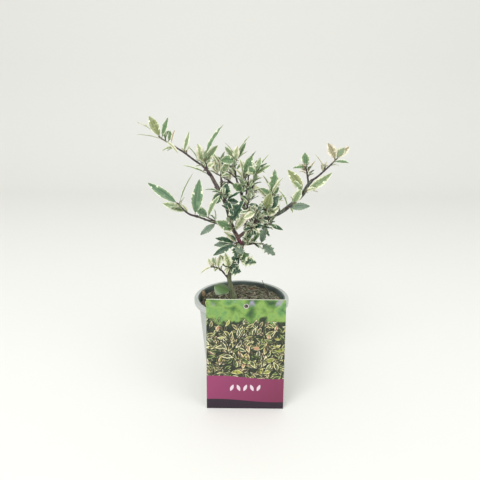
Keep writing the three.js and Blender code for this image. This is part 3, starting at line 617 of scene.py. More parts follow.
def tube(shape, path, radius, finish, sides, step, pointed=False):
    """A tube along a path. radius and finish are plain, or read by share of its length."""
    radius, finish = steady(radius), steady(finish)
    count = max(2, round(path.length / step))
    rings = []
    across = None
    for index in range(count + 1):
        share = index / count
        tangent = path.tangent(share)
        if across is None:
            across = tangent.cross(UP if abs(tangent.z) < NEARLY_UP else X_AXIS)
        across = (across - tangent * across.dot(tangent)).normalized()
        rings.append(circle(path.at(share), across, tangent.cross(across), radius(share), sides))
    end = path.at(1) + path.tangent(1) * radius(1) if pointed else None
    shape.add_rings(rings, lambda ring, side: finish((ring + 0.5) / count), end=end)


# ---- materials

# Colours are display values out of 255.
MOTTLED = {
    # name: dark, light, roughness
    "compost": ((46, 48, 38), (134, 134, 112), 0.95),
    "chip_dark": ((36, 35, 27), (80, 76, 60), 0.95),
    "chip_brown": ((80, 74, 56), (130, 124, 98), 0.95),
    "chip_red": ((96, 60, 48), (144, 102, 82), 0.95),
    "chip_pale": ((120, 116, 98), (168, 164, 144), 0.95),
    "moss": ((62, 78, 50), (112, 128, 86), 0.95),
    "dead_leaf": ((124, 102, 80), (176, 152, 124), 0.7),
    "yellow_leaf": ((184, 152, 72), (214, 190, 112), 0.6),
    "twig_dark": ((46, 38, 42), (84, 70, 70), 0.6),
    "twig_green": ((82, 84, 64), (120, 118, 92), 0.55),
    "bud": ((84, 58, 54), (132, 104, 82), 0.5),
}
PLASTICS = {
    # name: colour, stain
    "pot_outside": ((182, 188, 183), (168, 175, 168)),
    "pot_inside": ((84, 98, 94), (58, 64, 58)),
    "card_stock": ((214, 216, 206), (204, 206, 196)),
}
BLADES = {
    # name: colour, roughness
    "seed_leaf": ((120, 154, 100), 0.42),
    "seed_margin": ((146, 168, 132), 0.42),
    "stalk": ((112, 100, 80), 0.42),
    "dark_heart": ((40, 68, 50), 0.36),
    "dark_green": ((68, 100, 74), 0.38),
    "mid_heart": ((88, 118, 80), 0.42),
    "mid_green": ((121, 148, 106), 0.42),
    "blue_heart": ((88, 118, 88), 0.42),
    "blue_green": ((116, 146, 110), 0.42),
    "slate_heart": ((98, 118, 100), 0.42),
    "slate_green": ((122, 140, 120), 0.42),
    "grey_heart": ((114, 136, 98), 0.42),
    "grey_green": ((152, 168, 126), 0.42),
    "olive_heart": ((120, 130, 82), 0.42),
    "olive_green": ((150, 158, 110), 0.42),
    "pale_heart": ((140, 156, 112), 0.42),
    "pale_green": ((184, 194, 148), 0.42),
    "rose_heart": ((138, 134, 104), 0.42),
    "rose_tan": ((178, 168, 138), 0.42),
    "cream": ((230, 233, 204), 0.42),
    "ivory": ((230, 224, 202), 0.42),
    "under_green": ((146, 164, 132), 0.6),
    "under_cream": ((216, 220, 190), 0.6),
}
FLOOR_COLOR = (233, 233, 229)

# Bark: its colours by height from foot to top, the slate of the right bough, and lichen flecks
BARK_HEIGHTS = (0.100, 0.260)
BARK_RAMP = [
    (0.0, (88, 98, 66)), (0.16, (94, 106, 74)), (0.34, (82, 80, 60)), (0.43, (92, 72, 62)),
    (0.47, (114, 52, 74)), (0.5, (116, 50, 76)), (0.54, (104, 80, 74)), (0.61, (62, 53, 52)),
    (0.8, (52, 44, 48)), (1.0, (86, 60, 62))]
BARK_WANDER = 0.012
SLATE_BARK = (62, 74, 68)
SLATE_START, SLATE_END = 0.012, 0.032
SLATE_SHARE = 0.92
FLECKS = (142, 140, 116)
FLECK_RAMP = [(0.45, (0, 0, 0)), (0.62, (190, 190, 190))]
STREAK_SCALES = (900, 900, 180)

# The card's print and the painted shade at its foot, in metres above its foot or from its middle line
HILL_LINE = 0.117
HILL_RELIEF = 0.034
PETAL_LINE = 0.119
GARDEN_RAMP = [
    (0.32, (48, 82, 44)), (0.43, (92, 132, 60)), (0.52, (134, 168, 84)), (0.6, (104, 150, 84)),
    (0.7, (58, 96, 56))]
PETALS = (168, 160, 186)
BED_RAMP = [(0.35, (26, 34, 26)), (0.7, (64, 82, 46))]
PRINTED_LEAVES = [
    # cells a metre, shift of the cells, length, width, top
    (130, (0.031, 0.017, 0), 0.0048, 0.0014, 0.102),
    (115, (0.013, 0.029, 0), 0.0056, 0.0016, 0.100),
    (105, (0.047, 0.011, 0), 0.006, 0.0019, 0.097),
    (95, (0.021, 0.063, 0), 0.0066, 0.0021, 0.090),
    (80, (0.057, 0.041, 0), 0.0076, 0.0025, 0.078),
    (70, (0.009, 0.053, 0), 0.0086, 0.0029, 0.058),
]
PRINTED_HEARTS = [
    (0.0, (18, 34, 20)), (0.35, (36, 62, 32)), (0.62, (84, 114, 54)), (0.7, (172, 170, 60)),
    (0.78, (66, 96, 48)), (0.84, (166, 108, 86)), (0.94, (206, 158, 128)), (1.0, (44, 76, 38))]
PRINTED_MARGINS = [
    (0.0, (255, 250, 208)), (0.45, (232, 226, 160)), (0.7, (150, 170, 98)), (1.0, (250, 216, 186))]
PRINTED_SHADE = (24, 32, 22)
HOLLOWS = (22, 30, 18)
HOLLOW_SHARE = 0.84
PLUM_TOP = 0.0368
PLUM_LIGHT, PLUM_DARK = (146, 58, 102), (120, 40, 74)
PLUM_WAVE = 0.0018
PLUM_WAVES = 52
# Painted shade: below this height the card's front goes near black along its foot
FOOT_SHADE_TOP = 0.0095
PAINTED_FOOT_SHADE = (36, 20, 36)
PALE_LEAVES = 5
PALE_LEAF = (222, 206, 214)
PALE_LEAF_LEAN = 24
PALE_LEAF_SPACING = 0.0072
PALE_LEAF_HEIGHT = 0.0245
PALE_LEAF_LENGTH = 0.0042
PALE_LEAF_WIDTH = 0.0018
HOLE_EDGE = (196, 188, 190)
HOLE_EDGE_WIDTH = 0.6
TOP_LINE = (196, 204, 172)
TOP_LINE_WIDTH = 0.5


def linear(color):
    """A linear colour from its display values out of 255."""
    values = []
    for value in color:
        share = value / 255
        values.append(share / 12.92 if share <= 0.04045 else ((share + 0.055) / 1.055) ** 2.4)
    return (*values, 1.0)


class Finish:
    """A material and the few node steps that the finishes here share."""

    def __init__(self, name, color, roughness):
        self.material = bpy.data.materials.new(name)
        self.material.use_nodes = True
        self.material.diffuse_color = linear(color)
        self.tree = self.material.node_tree
        self.shader = self.tree.nodes["Principled BSDF"]
        self.feed(self.shader, "Base Color", linear(color))
        self.feed(self.shader, "Roughness", roughness)

    def feed(self, node, key, value):
        """Links an output to an input, or sets the input to a plain value."""
        if isinstance(value, bpy.types.NodeSocket):
            self.tree.links.new(value, node.inputs[key])
        else:
            node.inputs[key].default_value = value

    def add(self, kind, inputs, output=0, **settings):
        """Adds a node with its settings and inputs, and gives one of its outputs."""
        node = self.tree.nodes.new("ShaderNode" + kind)
        for key, value in settings.items():
            setattr(node, key, value)
        for key, value in inputs.items():
            self.feed(node, key, value)
        return node.outputs[output]

    def place(self):
        return self.add("TexCoord", {}, "Object")

    def split(self, vector):
        first = self.add("SeparateXYZ", {0: vector})
        return first.node.outputs

    def noise(self, scale, detail, where=None):
        where = where or self.place()
        return self.add("TexNoise", {"Scale": scale, "Detail": detail, "Vector": where}, "Fac")

    def calc(self, operation, first, second=0.0):
        return self.add("Math", {0: first, 1: second}, operation=operation)

    def vectors(self, operation, first, second, output="Vector"):
        return self.add("VectorMath", {0: first, 1: second}, output, operation=operation)

    def spread(self, value, start, end, low=0.0, high=1.0):
        """Carries a value between two limits over to a range, and holds it there beyond them."""
        return self.add("MapRange", {"Value": value, "From Min": start, "From Max": end, "To Min": low,
                                     "To Max": high})

    def step(self, value, edge, softness):
        """0 below an edge and 1 above it."""
        return self.spread(value, edge - softness, edge + softness)

    def ramp(self, value, stops):
        """Colours by a value from 0 to 1. stops are (place, colour)."""
        color = self.add("ValToRGB", {"Fac": value}, "Color")
        elements = color.node.color_ramp.elements
        while len(elements) < len(stops):
            elements.new(1.0)
        for element, (place, stop_color) in zip(elements, stops):
            element.position = place
            element.color = linear(stop_color)
        return color

    def mix(self, share, first, second):
        """Blends two colours, each an output or plain."""
        first, second = [linear(color) if isinstance(color, tuple) else color for color in (first, second)]
        return self.add("Mix", {"Factor": share, 6: first, 7: second}, 2, data_type="RGBA")

    def color(self, output):
        self.feed(self.shader, "Base Color", output)

    def roughness(self, value, low, high):
        self.feed(self.shader, "Roughness", self.spread(value, 0.0, 1.0, low, high))

    def bump(self, height, distance, strength):
        relief = self.add("Bump", {"Distance": distance, "Strength": strength, "Height": height}, "Normal")
        self.feed(self.shader, "Normal", relief)


def blade_finish(name, color, roughness):
    """One plain colour of a leaf, with the fine unevenness of a waxy blade."""
    finish = Finish(name, color, roughness)
    finish.bump(finish.noise(1400, detail=3), distance=0.0001, strength=0.35)
    return finish.material


def plastic_finish(name, color, stain):
    finish = Finish(name, color, roughness=0.42)
    finish.color(finish.ramp(finish.noise(60, detail=5), [(0.35, color), (0.75, stain)]))
    finish.roughness(finish.noise(220, detail=4), low=0.34, high=0.55)
    finish.bump(finish.noise(2600, detail=2), distance=0.00005, strength=0.25)
    return finish.material


def mottled_finish(name, dark, light, roughness):
    """Compost, bark chips and dry litter: mottled and rough."""
    finish = Finish(name, light, roughness)
    finish.color(finish.ramp(finish.noise(900, detail=6), [(0.35, dark), (0.7, light)]))
    finish.bump(finish.noise(1500, detail=6), distance=0.0004, strength=0.8)
    return finish.material


def bark_finish():
    """Young bark: green-brown at the foot, wine red, then purple-brown above, slate to the right."""
    finish = Finish("bark", (82, 66, 62), roughness=0.6)
    across, _, height = finish.split(finish.place())
    wander = finish.calc("MULTIPLY", finish.noise(160, detail=3), BARK_WANDER)
    low, high = BARK_HEIGHTS
    above = finish.calc("SUBTRACT", finish.calc("ADD", height, wander), low)
    color = finish.ramp(finish.calc("DIVIDE", above, high - low), BARK_RAMP)
    color = finish.mix(finish.spread(across, SLATE_START, SLATE_END, 0.0, SLATE_SHARE), color, SLATE_BARK)
    stretched = finish.add("Mapping", {"Scale": STREAK_SCALES, "Vector": finish.place()}, "Vector")
    streaks = finish.noise(1.0, detail=6, where=stretched)
    finish.color(finish.mix(finish.ramp(streaks, FLECK_RAMP), color, FLECKS))
    finish.roughness(streaks, low=0.5, high=0.8)
    finish.bump(streaks, distance=0.0005, strength=0.7)
    return finish.material


def print_leaves(finish, picture, flat, cells, shift, length, width, top):
    """Lays single two-coloured leaves over a picture, one in each uneven cell below a height."""
    calc, step = finish.calc, finish.step
    moved = finish.vectors("ADD", flat, shift)
    color = finish.add("TexVoronoi", {"Scale": cells, "Vector": moved}, "Color", voronoi_dimensions="2D")
    middle = color.node.outputs["Position"]
    chance = finish.add("SeparateColor", {0: color}).node.outputs
    along, aside, _ = finish.split(finish.add("VectorRotate", {
        "Vector": finish.vectors("SUBTRACT", moved, middle),
        "Angle": calc("MULTIPLY", chance[0], FULL_TURN)}, rotation_type="Z_AXIS"))
    along = calc("DIVIDE", along, length)
    fall = calc("SUBTRACT", 1.0, calc("POWER", calc("ABSOLUTE", along), 1.6))
    bend = calc("MULTIPLY", calc("POWER", along, 2), width * 0.6)
    beside = calc("ABSOLUTE", calc("ADD", aside, bend))
    uneven = calc("MULTIPLY", finish.noise(900, detail=1), width * 0.5)
    inside = calc("SUBTRACT", calc("MULTIPLY", fall, width * 1.25), calc("ADD", beside, uneven))
    level = finish.split(finish.vectors("SUBTRACT", middle, shift))[1]
    shown = calc("LESS_THAN", level, top)
    heart = finish.ramp(chance[1], PRINTED_HEARTS)
    margin = finish.ramp(chance[2], PRINTED_MARGINS)
    shade = calc("MULTIPLY", step(inside, width * -0.35, width * 0.35), shown)
    leaf = finish.mix(step(inside, width * 0.38, width * 0.14), margin, heart)
    rib = step(beside, width * 0.06, width * 0.05)
    leaf = finish.mix(rib, finish.mix(0.4, leaf, margin), leaf)
    picture = finish.mix(shade, picture, PRINTED_SHADE)
    laid = calc("MULTIPLY", step(inside, width * 0.06, width * 0.06), shown)
    return finish.mix(laid, picture, leaf)


def card_finish():
    """The card's print: a blurred garden, a bed of edged leaves and a plum band with pale leaves."""
    finish = Finish("card_print", (116, 134, 86), roughness=0.4)
    calc, step, mix = finish.calc, finish.step, finish.mix
    across, _, height = finish.split(finish.place())
    flat = finish.add("CombineXYZ", {0: across, 1: height})

    garden = finish.ramp(finish.noise(60, detail=3), GARDEN_RAMP)
    petals = calc("MULTIPLY", step(finish.noise(75, detail=1), 0.6, 0.04), step(height, PETAL_LINE, 0.003))
    garden = mix(petals, garden, PETALS)
    bed = finish.ramp(finish.noise(380, detail=3), BED_RAMP)
    hills = calc("ADD", height, calc("MULTIPLY", finish.noise(90, detail=4), HILL_RELIEF))
    picture = mix(step(hills, HILL_LINE, 0.002), bed, garden)
    for layer in PRINTED_LEAVES:
        picture = print_leaves(finish, picture, flat, *layer)
    hollows = calc("MULTIPLY", step(finish.noise(190, detail=3), 0.53, 0.05), HOLLOW_SHARE)
    hollows = calc("MULTIPLY", hollows, calc("LESS_THAN", hills, HILL_LINE))
    picture = mix(hollows, picture, HOLLOWS)

    wave = calc("MULTIPLY", calc("SINE", calc("MULTIPLY", across, PLUM_WAVES)), PLUM_WAVE)
    level = calc("ADD", height, wave)
    plum = mix(step(calc("SUBTRACT", across, height), -0.02, 0.05), PLUM_LIGHT, PLUM_DARK)
    picture = mix(step(level, PLUM_TOP, 0.0002), plum, picture)
    # Painted shade: near black along the card's foot
    picture = mix(step(level, FOOT_SHADE_TOP, 0.0002), PAINTED_FOOT_SHADE, picture)
    for index in range(PALE_LEAVES):
        middle = ((index - PALE_LEAVES // 2) * PALE_LEAF_SPACING, PALE_LEAF_HEIGHT, 0)
        lean = radians(90 + (PALE_LEAF_LEAN if index % 2 else -PALE_LEAF_LEAN))
        along, aside, _ = finish.split(finish.add("VectorRotate", {
            "Vector": finish.vectors("SUBTRACT", flat, middle), "Angle": -lean}, rotation_type="Z_AXIS"))
        fall = calc("SUBTRACT", 1.0, calc("POWER", calc("DIVIDE", along, PALE_LEAF_LENGTH), 2))
        inside = calc("SUBTRACT", fall, calc("DIVIDE", calc("ABSOLUTE", aside), PALE_LEAF_WIDTH))
        picture = mix(step(inside, 0.05, 0.05), picture, PALE_LEAF)
    from_hole = finish.vectors("DISTANCE", flat, (0, CARD_HOLE_Z * MM, 0), "Value")
    picture = mix(step(from_hole, (CARD_HOLE_RADIUS + HOLE_EDGE_WIDTH) * MM, 0.00012), HOLE_EDGE, picture)
    picture = mix(step(height, (CARD_LENGTH - TOP_LINE_WIDTH) * MM, 0.0003), picture, TOP_LINE)
    finish.color(picture)
    finish.bump(finish.noise(1800, detail=2), distance=0.00003, strength=0.2)
    return finish.material


def make_finishes():
    finishes = {"bark": bark_finish(), "card_print": card_finish()}
    for make, table in ((mottled_finish, MOTTLED), (plastic_finish, PLASTICS), (blade_finish, BLADES)):
        for name, values in table.items():
            finishes[name] = make(name, *values)
    return finishes


# ---- pot, soil and card

def pot_outer_radius(height):
    return POT_BASE_RADIUS + POT_TAPER * height


def pot_inner_radius(height):
    return pot_outer_radius(height) - POT_WALL


def rounded(centre, radius, start, end, steps=5):
    """Points of an arc in a profile, from one angle to another, in degrees."""
    arc = []
    for index in range(steps + 1):
        angle = radians(start + (end - start) * index / steps)
        arc.append((centre[0] + cos(angle) * radius, centre[1] + sin(angle) * radius))
    return arc


def make_pot(finishes):
    """A thin tapered pot with a rounded turned-down rim and a rounded edge inside its top."""
    under_rim = POT_HEIGHT - POT_WALL
    lip = POT_HEIGHT - RIM_ROUNDING
    foot_radius = POT_BASE_RADIUS - POT_FOOT_ROUNDING
    half_wall = POT_WALL / 2
    outside = [(POT_CENTRE_RADIUS, 0)]
    outside += rounded((foot_radius, POT_FOOT_ROUNDING), POT_FOOT_ROUNDING, -90, 0)
    outside += [(pot_outer_radius(height), height) for height in (*POT_ROWS, under_rim)]
    outside.append((RIM_RADIUS - POT_WALL, under_rim))
    outside += rounded((RIM_RADIUS - half_wall, POT_HEIGHT - RIM_DEPTH + half_wall), half_wall, 180, 360)
    outside += rounded((RIM_RADIUS - RIM_ROUNDING, lip), RIM_ROUNDING, 0, 90)
    bevel_foot = POT_HEIGHT - RIM_INNER_BEVEL
    bevel_radius = pot_inner_radius(bevel_foot) + RIM_INNER_BEVEL
    inside = rounded((bevel_radius, bevel_foot), RIM_INNER_BEVEL, 90, 180)
    inside += [(pot_inner_radius(height), height) for height in POT_INNER_ROWS]
    inside.append((POT_CENTRE_RADIUS, POT_FLOOR))
    rings = [level_circle(height, radius, POT_SIDES) for radius, height in outside + inside]
    shape = Shape()
    shape.add_rings(rings, lambda ring, side: "pot_inside" if ring >= len(outside) else "pot_outside")
    piece = shape.build("pot_shell", finishes, sharp=50)
    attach(piece, "root")
    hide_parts("pot")


def on_soil(x, y):
    """A point of the soil's surface: nearly flat, falling to the wall, higher at the back, with lumps."""
    edge = pot_inner_radius(SOIL_TOP - SOIL_EDGE_DROP)
    share = min(1, hypot(x, y) / edge)
    level = SOIL_TOP - SOIL_EDGE_DROP * share ** 4
    level += SOIL_BACK_RISE * max(0, y - SOIL_FLAT_RADIUS) / (edge - SOIL_FLAT_RADIUS)
    lumps = noise.fractal(Vector((x, y, LUMP_LAYER)) * LUMP_SCALE, 1.0, 2.1, 4)
    return Vector((x, y, level + SOIL_ROUGHNESS * (lumps - LUMP_MIDDLE)))


def scatter(dice, reach):
    """A place on the soil, evenly dealt."""
    radius = reach * sqrt(dice.random())
    angle = dice.uniform(0, FULL_TURN)
    return on_soil(radius * cos(angle), radius * sin(angle))


def make_soil(finishes, dice):
    shape = Shape()
    top_radius = pot_inner_radius(SOIL_TOP - SOIL_EDGE_DROP) - SOIL_TOP_GAP
    rings = []
    for height in (POT_FLOOR + CLEARANCE, SOIL_TOP / 2):
        rings.append(level_circle(height, pot_inner_radius(height) - SOIL_WALL_GAP, SOIL_SIDES))
    for index in range(SOIL_RINGS):
        ring = level_circle(0, top_radius * (1 - index / SOIL_RINGS), SOIL_SIDES)
        rings.append([on_soil(point.x, point.y) for point in ring])
    shape.add_rings(rings, "compost", end=on_soil(0, 0))
    for _ in range(CHIPS):
        add_chip(shape, scatter(dice, top_radius - CHIP_WALL_GAP), dice)
    for _ in range(FIBRES):
        add_fibre(shape, scatter(dice, top_radius - FIBRE_WALL_GAP), dice)
    piece = shape.build("compost", finishes, sharp=60)
    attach(piece, "root")
    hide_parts("soil")


def add_chip(shape, place, dice):
    """An uneven flattened lump of bark or compost."""
    finish = dice.choice(CHIP_FINISHES)
    size = dice.uniform(*CHIP_SIZES) ** 2 * CHIP_SIZE
    turn = Matrix.Rotation(dice.uniform(0, FULL_TURN), 3, "Z")
    tilt = Matrix.Rotation(dice.uniform(-CHIP_TILT, CHIP_TILT), 3, "X")
    length, width, height = (size * dice.uniform(*limits) for limits in CHIP_SHAPE)
    rings = []
    for level, girth in CHIP_LEVELS:
        ring = []
        for side in range(CHIP_SIDES):
            angle = FULL_TURN * side / CHIP_SIDES
            rough = girth * dice.uniform(*CHIP_UNEVENNESS)
            point = (cos(angle) * length * rough, sin(angle) * width * rough, level * height)
            ring.append(place + turn @ (tilt @ Vector(point)))
        rings.append(ring)
    shape.add_rings(rings, finish)


def add_fibre(shape, place, dice):
    """A thin curved root or bark fibre lying on the soil."""
    length = dice.uniform(*FIBRE_LENGTH)
    heading = dice.uniform(0, FULL_TURN)
    points = []
    for index in range(FIBRE_POINTS):
        out = length * index / (FIBRE_POINTS - 1)
        point = on_soil(place.x + cos(heading) * out, place.y + sin(heading) * out)
        point.z += FIBRE_LIFT + dice.uniform(0, FIBRE_ARCH)
        points.append(point)
        heading += dice.uniform(-FIBRE_BEND, FIBRE_BEND)
    if any(hypot(point.x, point.y) > pot_inner_radius(SOIL_TOP) - CHIP_WALL_GAP for point in points):
        return
    finish = dice.choice(FIBRE_FINISHES)
    radius = dice.uniform(*FIBRE_THICKNESS)
    tube(shape, Path(points), lambda share: radius * (1 - FIBRE_TAPER * share), finish, sides=5, step=1.5)


def add_litter(finishes, dice):
    """A seedling's leaf, dry leaves, bits of bark and thin sticks on the soil."""
    shape = Shape()
    for root, reach, *sheet in SHEETS:
        add_sheet(shape, Vector(root), Vector(reach), *sheet, dice)
    for points, thickness, finish in STICKS:
        tube(shape, Path(points), lambda share, thickness=thickness: thickness * (1 - STICK_TAPER * share),
             finish, sides=7, step=1, pointed=True)
    piece = shape.build("litter", finishes, sharp=70)
    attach(piece, "root")


def add_sheet(shape, root, reach, width, turn, blade, margin, dice):
    """A curled oval leaf or flake without teeth, its rim in a second finish."""
    _, normal, across = blade_axes(reach, turn)
    rings = []
    for index in range(SHEET_STEPS + 1):
        share = index / SHEET_STEPS
        pointed = min(max(share, SHEET_END), 1 - SHEET_END)
        half = width / 2 * (4 * pointed * (1 - pointed)) ** SHEET_FULLNESS
        centre = root + reach * share + normal * (4 * share * (1 - share) * reach.length * SHEET_BOW)
        ring = []
        for column in SHEET_COLUMNS:
            under = len(ring) >= SHEET_TOP_COLUMNS
            crease = dice.uniform(-SHEET_CREASE, SHEET_CREASE)
            lift = SHEET_CURL * half * column ** 2
            lift += -SHEET_THICKNESS * (1 - abs(column)) if under else crease
            ring.append(centre + across * (column * half) + normal * lift)
        rings.append(ring)
    shape.add_rings(rings, lambda ring, side: margin if side in SHEET_MARGINS else blade,
                    start=root, end=root + reach)


def make_card(finishes):
    """A thin card with a round hole, standing on its lower edge and leaning back on the rim."""
    columns = round(CARD_WIDTH / CARD_CELL)
    rows = round(CARD_LENGTH / CARD_CELL)
    xs = [-CARD_WIDTH / 2 + CARD_WIDTH * index / columns for index in range(columns + 1)]
    zs = [CARD_LENGTH * index / rows for index in range(rows + 1)]
    near_x = [index for index, x in enumerate(xs) if abs(x) < CARD_HOLE_SURROUND]
    near_z = [index for index, z in enumerate(zs) if abs(z - CARD_HOLE_Z) < CARD_HOLE_SURROUND]
    left, right = near_x[0], near_x[-1]
    low, high = near_z[0], near_z[-1]

    def round_trip(start, end, foot, top):
        """The grid's corners round a rectangle, to the right along its foot first."""
        trip = [(column, foot) for column in range(start, end)]
        trip += [(end, row) for row in range(foot, top)]
        trip += [(column, top) for column in range(end, start, -1)]
        trip += [(start, row) for row in range(top, foot, -1)]
        return trip

    def corner(column, row):
        return row * (columns + 1) + column

    shape = Shape()
    shape.points = [Vector((x, 0, z)) for z in zs for x in xs]
    count = len(shape.points)
    square = round_trip(left, right, low, high)
    for column, row in square:
        angle = atan2(zs[row] - CARD_HOLE_Z, xs[column])
        around = Vector((cos(angle), 0, sin(angle))) * CARD_HOLE_RADIUS
        shape.points.append(Vector((0, 0, CARD_HOLE_Z)) + around)
    total = len(shape.points)
    shape.points += [point + Y_AXIS * CARD_THICKNESS for point in shape.points]
    for row in range(rows):
        for column in range(columns):
            if left <= column < right and low <= row < high:
                continue
            foot, above = corner(column, row), corner(column, row + 1)
            face = [foot, foot + 1, above + 1, above]
            shape.add_face(face, "card_print")
            shape.add_face([total + index for index in face], "card_stock", backwards=True)
    for index, place in enumerate(square):
        following = (index + 1) % len(square)
        face = [corner(*place), corner(*square[following]), count + following, count + index]
        shape.add_face(face, "card_print")
        shape.add_face([total + item for item in face], "card_stock", backwards=True)
        shape.add_face([count + index, count + following, total + count + following, total + count + index],
                       "card_stock")
    edge = round_trip(0, columns, 0, rows)
    for index, place in enumerate(edge):
        start, end = corner(*place), corner(*edge[(index + 1) % len(edge)])
        shape.add_face([end, start, total + start, total + end], "card_stock")
    piece = shape.build("card", finishes, sharp=40)
    lean = atan2(-CARD_FOOT_Y - RIM_RADIUS - CLEARANCE, POT_HEIGHT - RIM_ROUNDING)
    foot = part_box("picture_card")[0]
    piece.rotation_euler = (-lean, 0, 0)
    piece.location = (CARD_CENTRE_X * MM, foot.y, foot.z + CARD_THICKNESS * MM * sin(lean))
    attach(piece, "root")
    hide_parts("picture_card")


# ---- the plant

def blade_width(share, taper):
    """A blade's half width along its length, as a share of the widest: a lance, fuller near the foot."""
    return (4 * share * (1 - share)) ** BLADE_FULLNESS * (1 + taper * (0.5 - share))


def add_leaf(shape, root, reach, width, turn, tint, dice):
    """A spiny, keeled and slightly wavy blade on a short stalk, its tints dealt out in bands."""
    heart, band, margin, green, spread = LEAF_TINTS[tint.lower()]
    spiny = tint.isupper()
    teeth, taper = (SPINES, SPINY_TAPER) if spiny else (FINE_TEETH, PLAIN_TAPER)
    axis, normal, across = blade_axes(reach, turn)
    length = reach.length
    half = width / 2
    keel = dice.uniform(*LEAF_KEEL)
    wave = dice.uniform(*LEAF_WAVE) * (SPINY_WAVE if spiny else 1)
    phase = dice.uniform(0, FULL_TURN)
    twist = dice.uniform(*LEAF_TWIST)
    droop = dice.uniform(*LEAF_DROOP)
    rings = []
    for index in range(LEAF_STATIONS + 1):
        share = index / LEAF_STATIONS
        tooth = teeth[index % len(teeth)] * min(1, TOOTH_FADE * (1 - share))
        toothed = 1 if tooth > 0 else -1
        widest = blade_width(min(max(share, BLADE_END), 1 - BLADE_END), taper)
        place = STALK_SHARE + (1 - STALK_SHARE) * share
        forward = length * TOOTH_SWEEP / LEAF_STATIONS if tooth > 0 else 0
        bow = (LEAF_BOW + droop) * 4 * place * (1 - place) * length
        centre = root + reach * place + normal * bow
        turned = twist * (share - 0.5)
        side_axis = across * cos(turned) + normal * sin(turned)
        face_axis = normal * cos(turned) - across * sin(turned)
        greens = []
        for _ in range(2):
            outer = min(GREEN_LIMITS[1], max(GREEN_LIMITS[0], green + dice.uniform(-spread, spread)))
            greens.append((outer * dice.uniform(*HEART_SHARE), outer))
        columns = [1, greens[0][1], greens[0][0], MIDRIB, -MIDRIB, -greens[1][0], -greens[1][1], -1]
        ring = []
        for column in columns + columns[-2:0:-1]:
            under = len(ring) >= len(columns)
            size = abs(column)
            ripple = sin(share * LEAF_WAVES + phase + (2 if column > 0 else 0))
            lift = half * (keel * size * widest + 2 * wave * ripple * size ** 2)
            lift += PUCKER * toothed * size * (1 - size) * min(1, half / 3)
            if size < 2 * MIDRIB:
                lift -= MIDRIB_DEPTH * half
            if under:
                lift -= LEAF_THICKNESS * (1 - size ** 2) * min(1, widest * 2)
            out = column * half * widest * (1 + tooth)
            ring.append(centre + side_axis * out + face_axis * lift + axis * forward * size ** 3)
        rings.append(ring)
    top_names = [margin, band, heart, band, heart, band, margin]
    splash = {(dice.randrange(LEAF_STATIONS), dice.choice((1, 5))): margin for _ in range(2)}
    splash.update({(dice.randrange(LEAF_STATIONS), dice.choice((2, 4))): band for _ in range(4)})

    def finish(ring, side):
        if side >= len(top_names):
            return UNDER_FINISHES[side - len(top_names)]
        return splash.get((ring, side), top_names[side])

    # The blade closes just below its first station, and the stalk runs on a little way into it.
    shape.add_rings(rings, finish, start=root + reach * STALK_SHARE * STALK_BLADE_START, end=root + reach)
    stalk_end = root + reach * (STALK_SHARE * STALK_OVERLAP) + normal * (LEAF_BOW * length * STALK_LIFT)
    stalk = Path([root, stalk_end])
    tube(shape, stalk, lambda share: STALK_RADIUS - STALK_TAPER * share, "stalk", sides=5, step=2)


def make_limbs(finishes, dice):
    """Trunk and boughs in one skin, with merged forks, a flared foot, stubs and bark relief."""
    shape = Shape()
    for name, points, radii in LIMBS:
        path = Path(points)
        offset = dice.uniform(*NOISE_OFFSETS)
        flare = 0 if name == "trunk" else LIMB_FOOT_FLARE

        def girth(share, path=path, radii=radii, offset=offset, flare=flare):
            along = share * path.length
            swelling = max(0, noise.noise(Vector((along * LIMB_SWELLING_SCALE, offset, 0)))) ** 2
            foot = flare * max(0, 1 - along / LIMB_FLARE_LENGTH)
            return radius_along(radii, share) * (1 + LIMB_SWELLING * swelling + foot)

        tube(shape, path, girth, "bark", sides=16, step=1.2, pointed=True)
        for _ in range(LIMB_STUBS):
            share = dice.uniform(*STUB_PLACES)
            heading = leaning_from(path.tangent(share), dice.uniform(0, 360), dice.uniform(*STUB_LEAN))
            root = path.at(share)
            out = radius_along(radii, share)
            tip = root + heading * (out + dice.uniform(*STUB_LENGTH))
            tube(shape, Path([root, tip]), lambda along, out=out: out * (STUB_GIRTH - STUB_TAPER * along),
                 "bark", sides=10, step=0.8, pointed=True)
    limbs = shape.build("limbs", finishes)
    remesh = limbs.modifiers.new("skin", "REMESH")
    remesh.mode = "VOXEL"
    remesh.voxel_size = SKIN_VOXEL * MM
    smooth = limbs.modifiers.new("ease", "SMOOTH")
    smooth.factor = 0.5
    smooth.iterations = 3
    bpy.context.view_layer.update()
    skin = bpy.data.meshes.new_from_object(limbs.evaluated_get(bpy.context.evaluated_depsgraph_get()))
    limbs.modifiers.clear()
    limbs.data = skin
    normals = [vertex.normal.copy() for vertex in skin.vertices]
    for vertex, normal in zip(skin.vertices, normals):
        place = vertex.co / MM
        ridge = noise.noise(place * RIDGE_SCALE)
        grain = noise.noise(place * GRAIN_SCALE)
        vertex.co += normal * (RIDGE_HEIGHT * ridge + GRAIN_HEIGHT * grain) * MM
    skin.materials.clear()
    skin.materials.append(finishes["bark"])
    skin.polygons.foreach_set("material_index", [0] * len(skin.polygons))
    skin.polygons.foreach_set("use_smooth", [True] * len(skin.polygons))
    skin.update()
    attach(limbs, "root")
    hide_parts(*[name for name, points, radii in LIMBS])


def frame_tips(node):
    """The corners of a packed mass, to ask whether a twig or leaf of the rule is in it."""
    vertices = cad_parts[node].data.vertices
    tree = KDTree(len(vertices))
    for vertex in vertices:
        tree.insert(vertex.co / MM, vertex.index)
    tree.balance()
    return tree


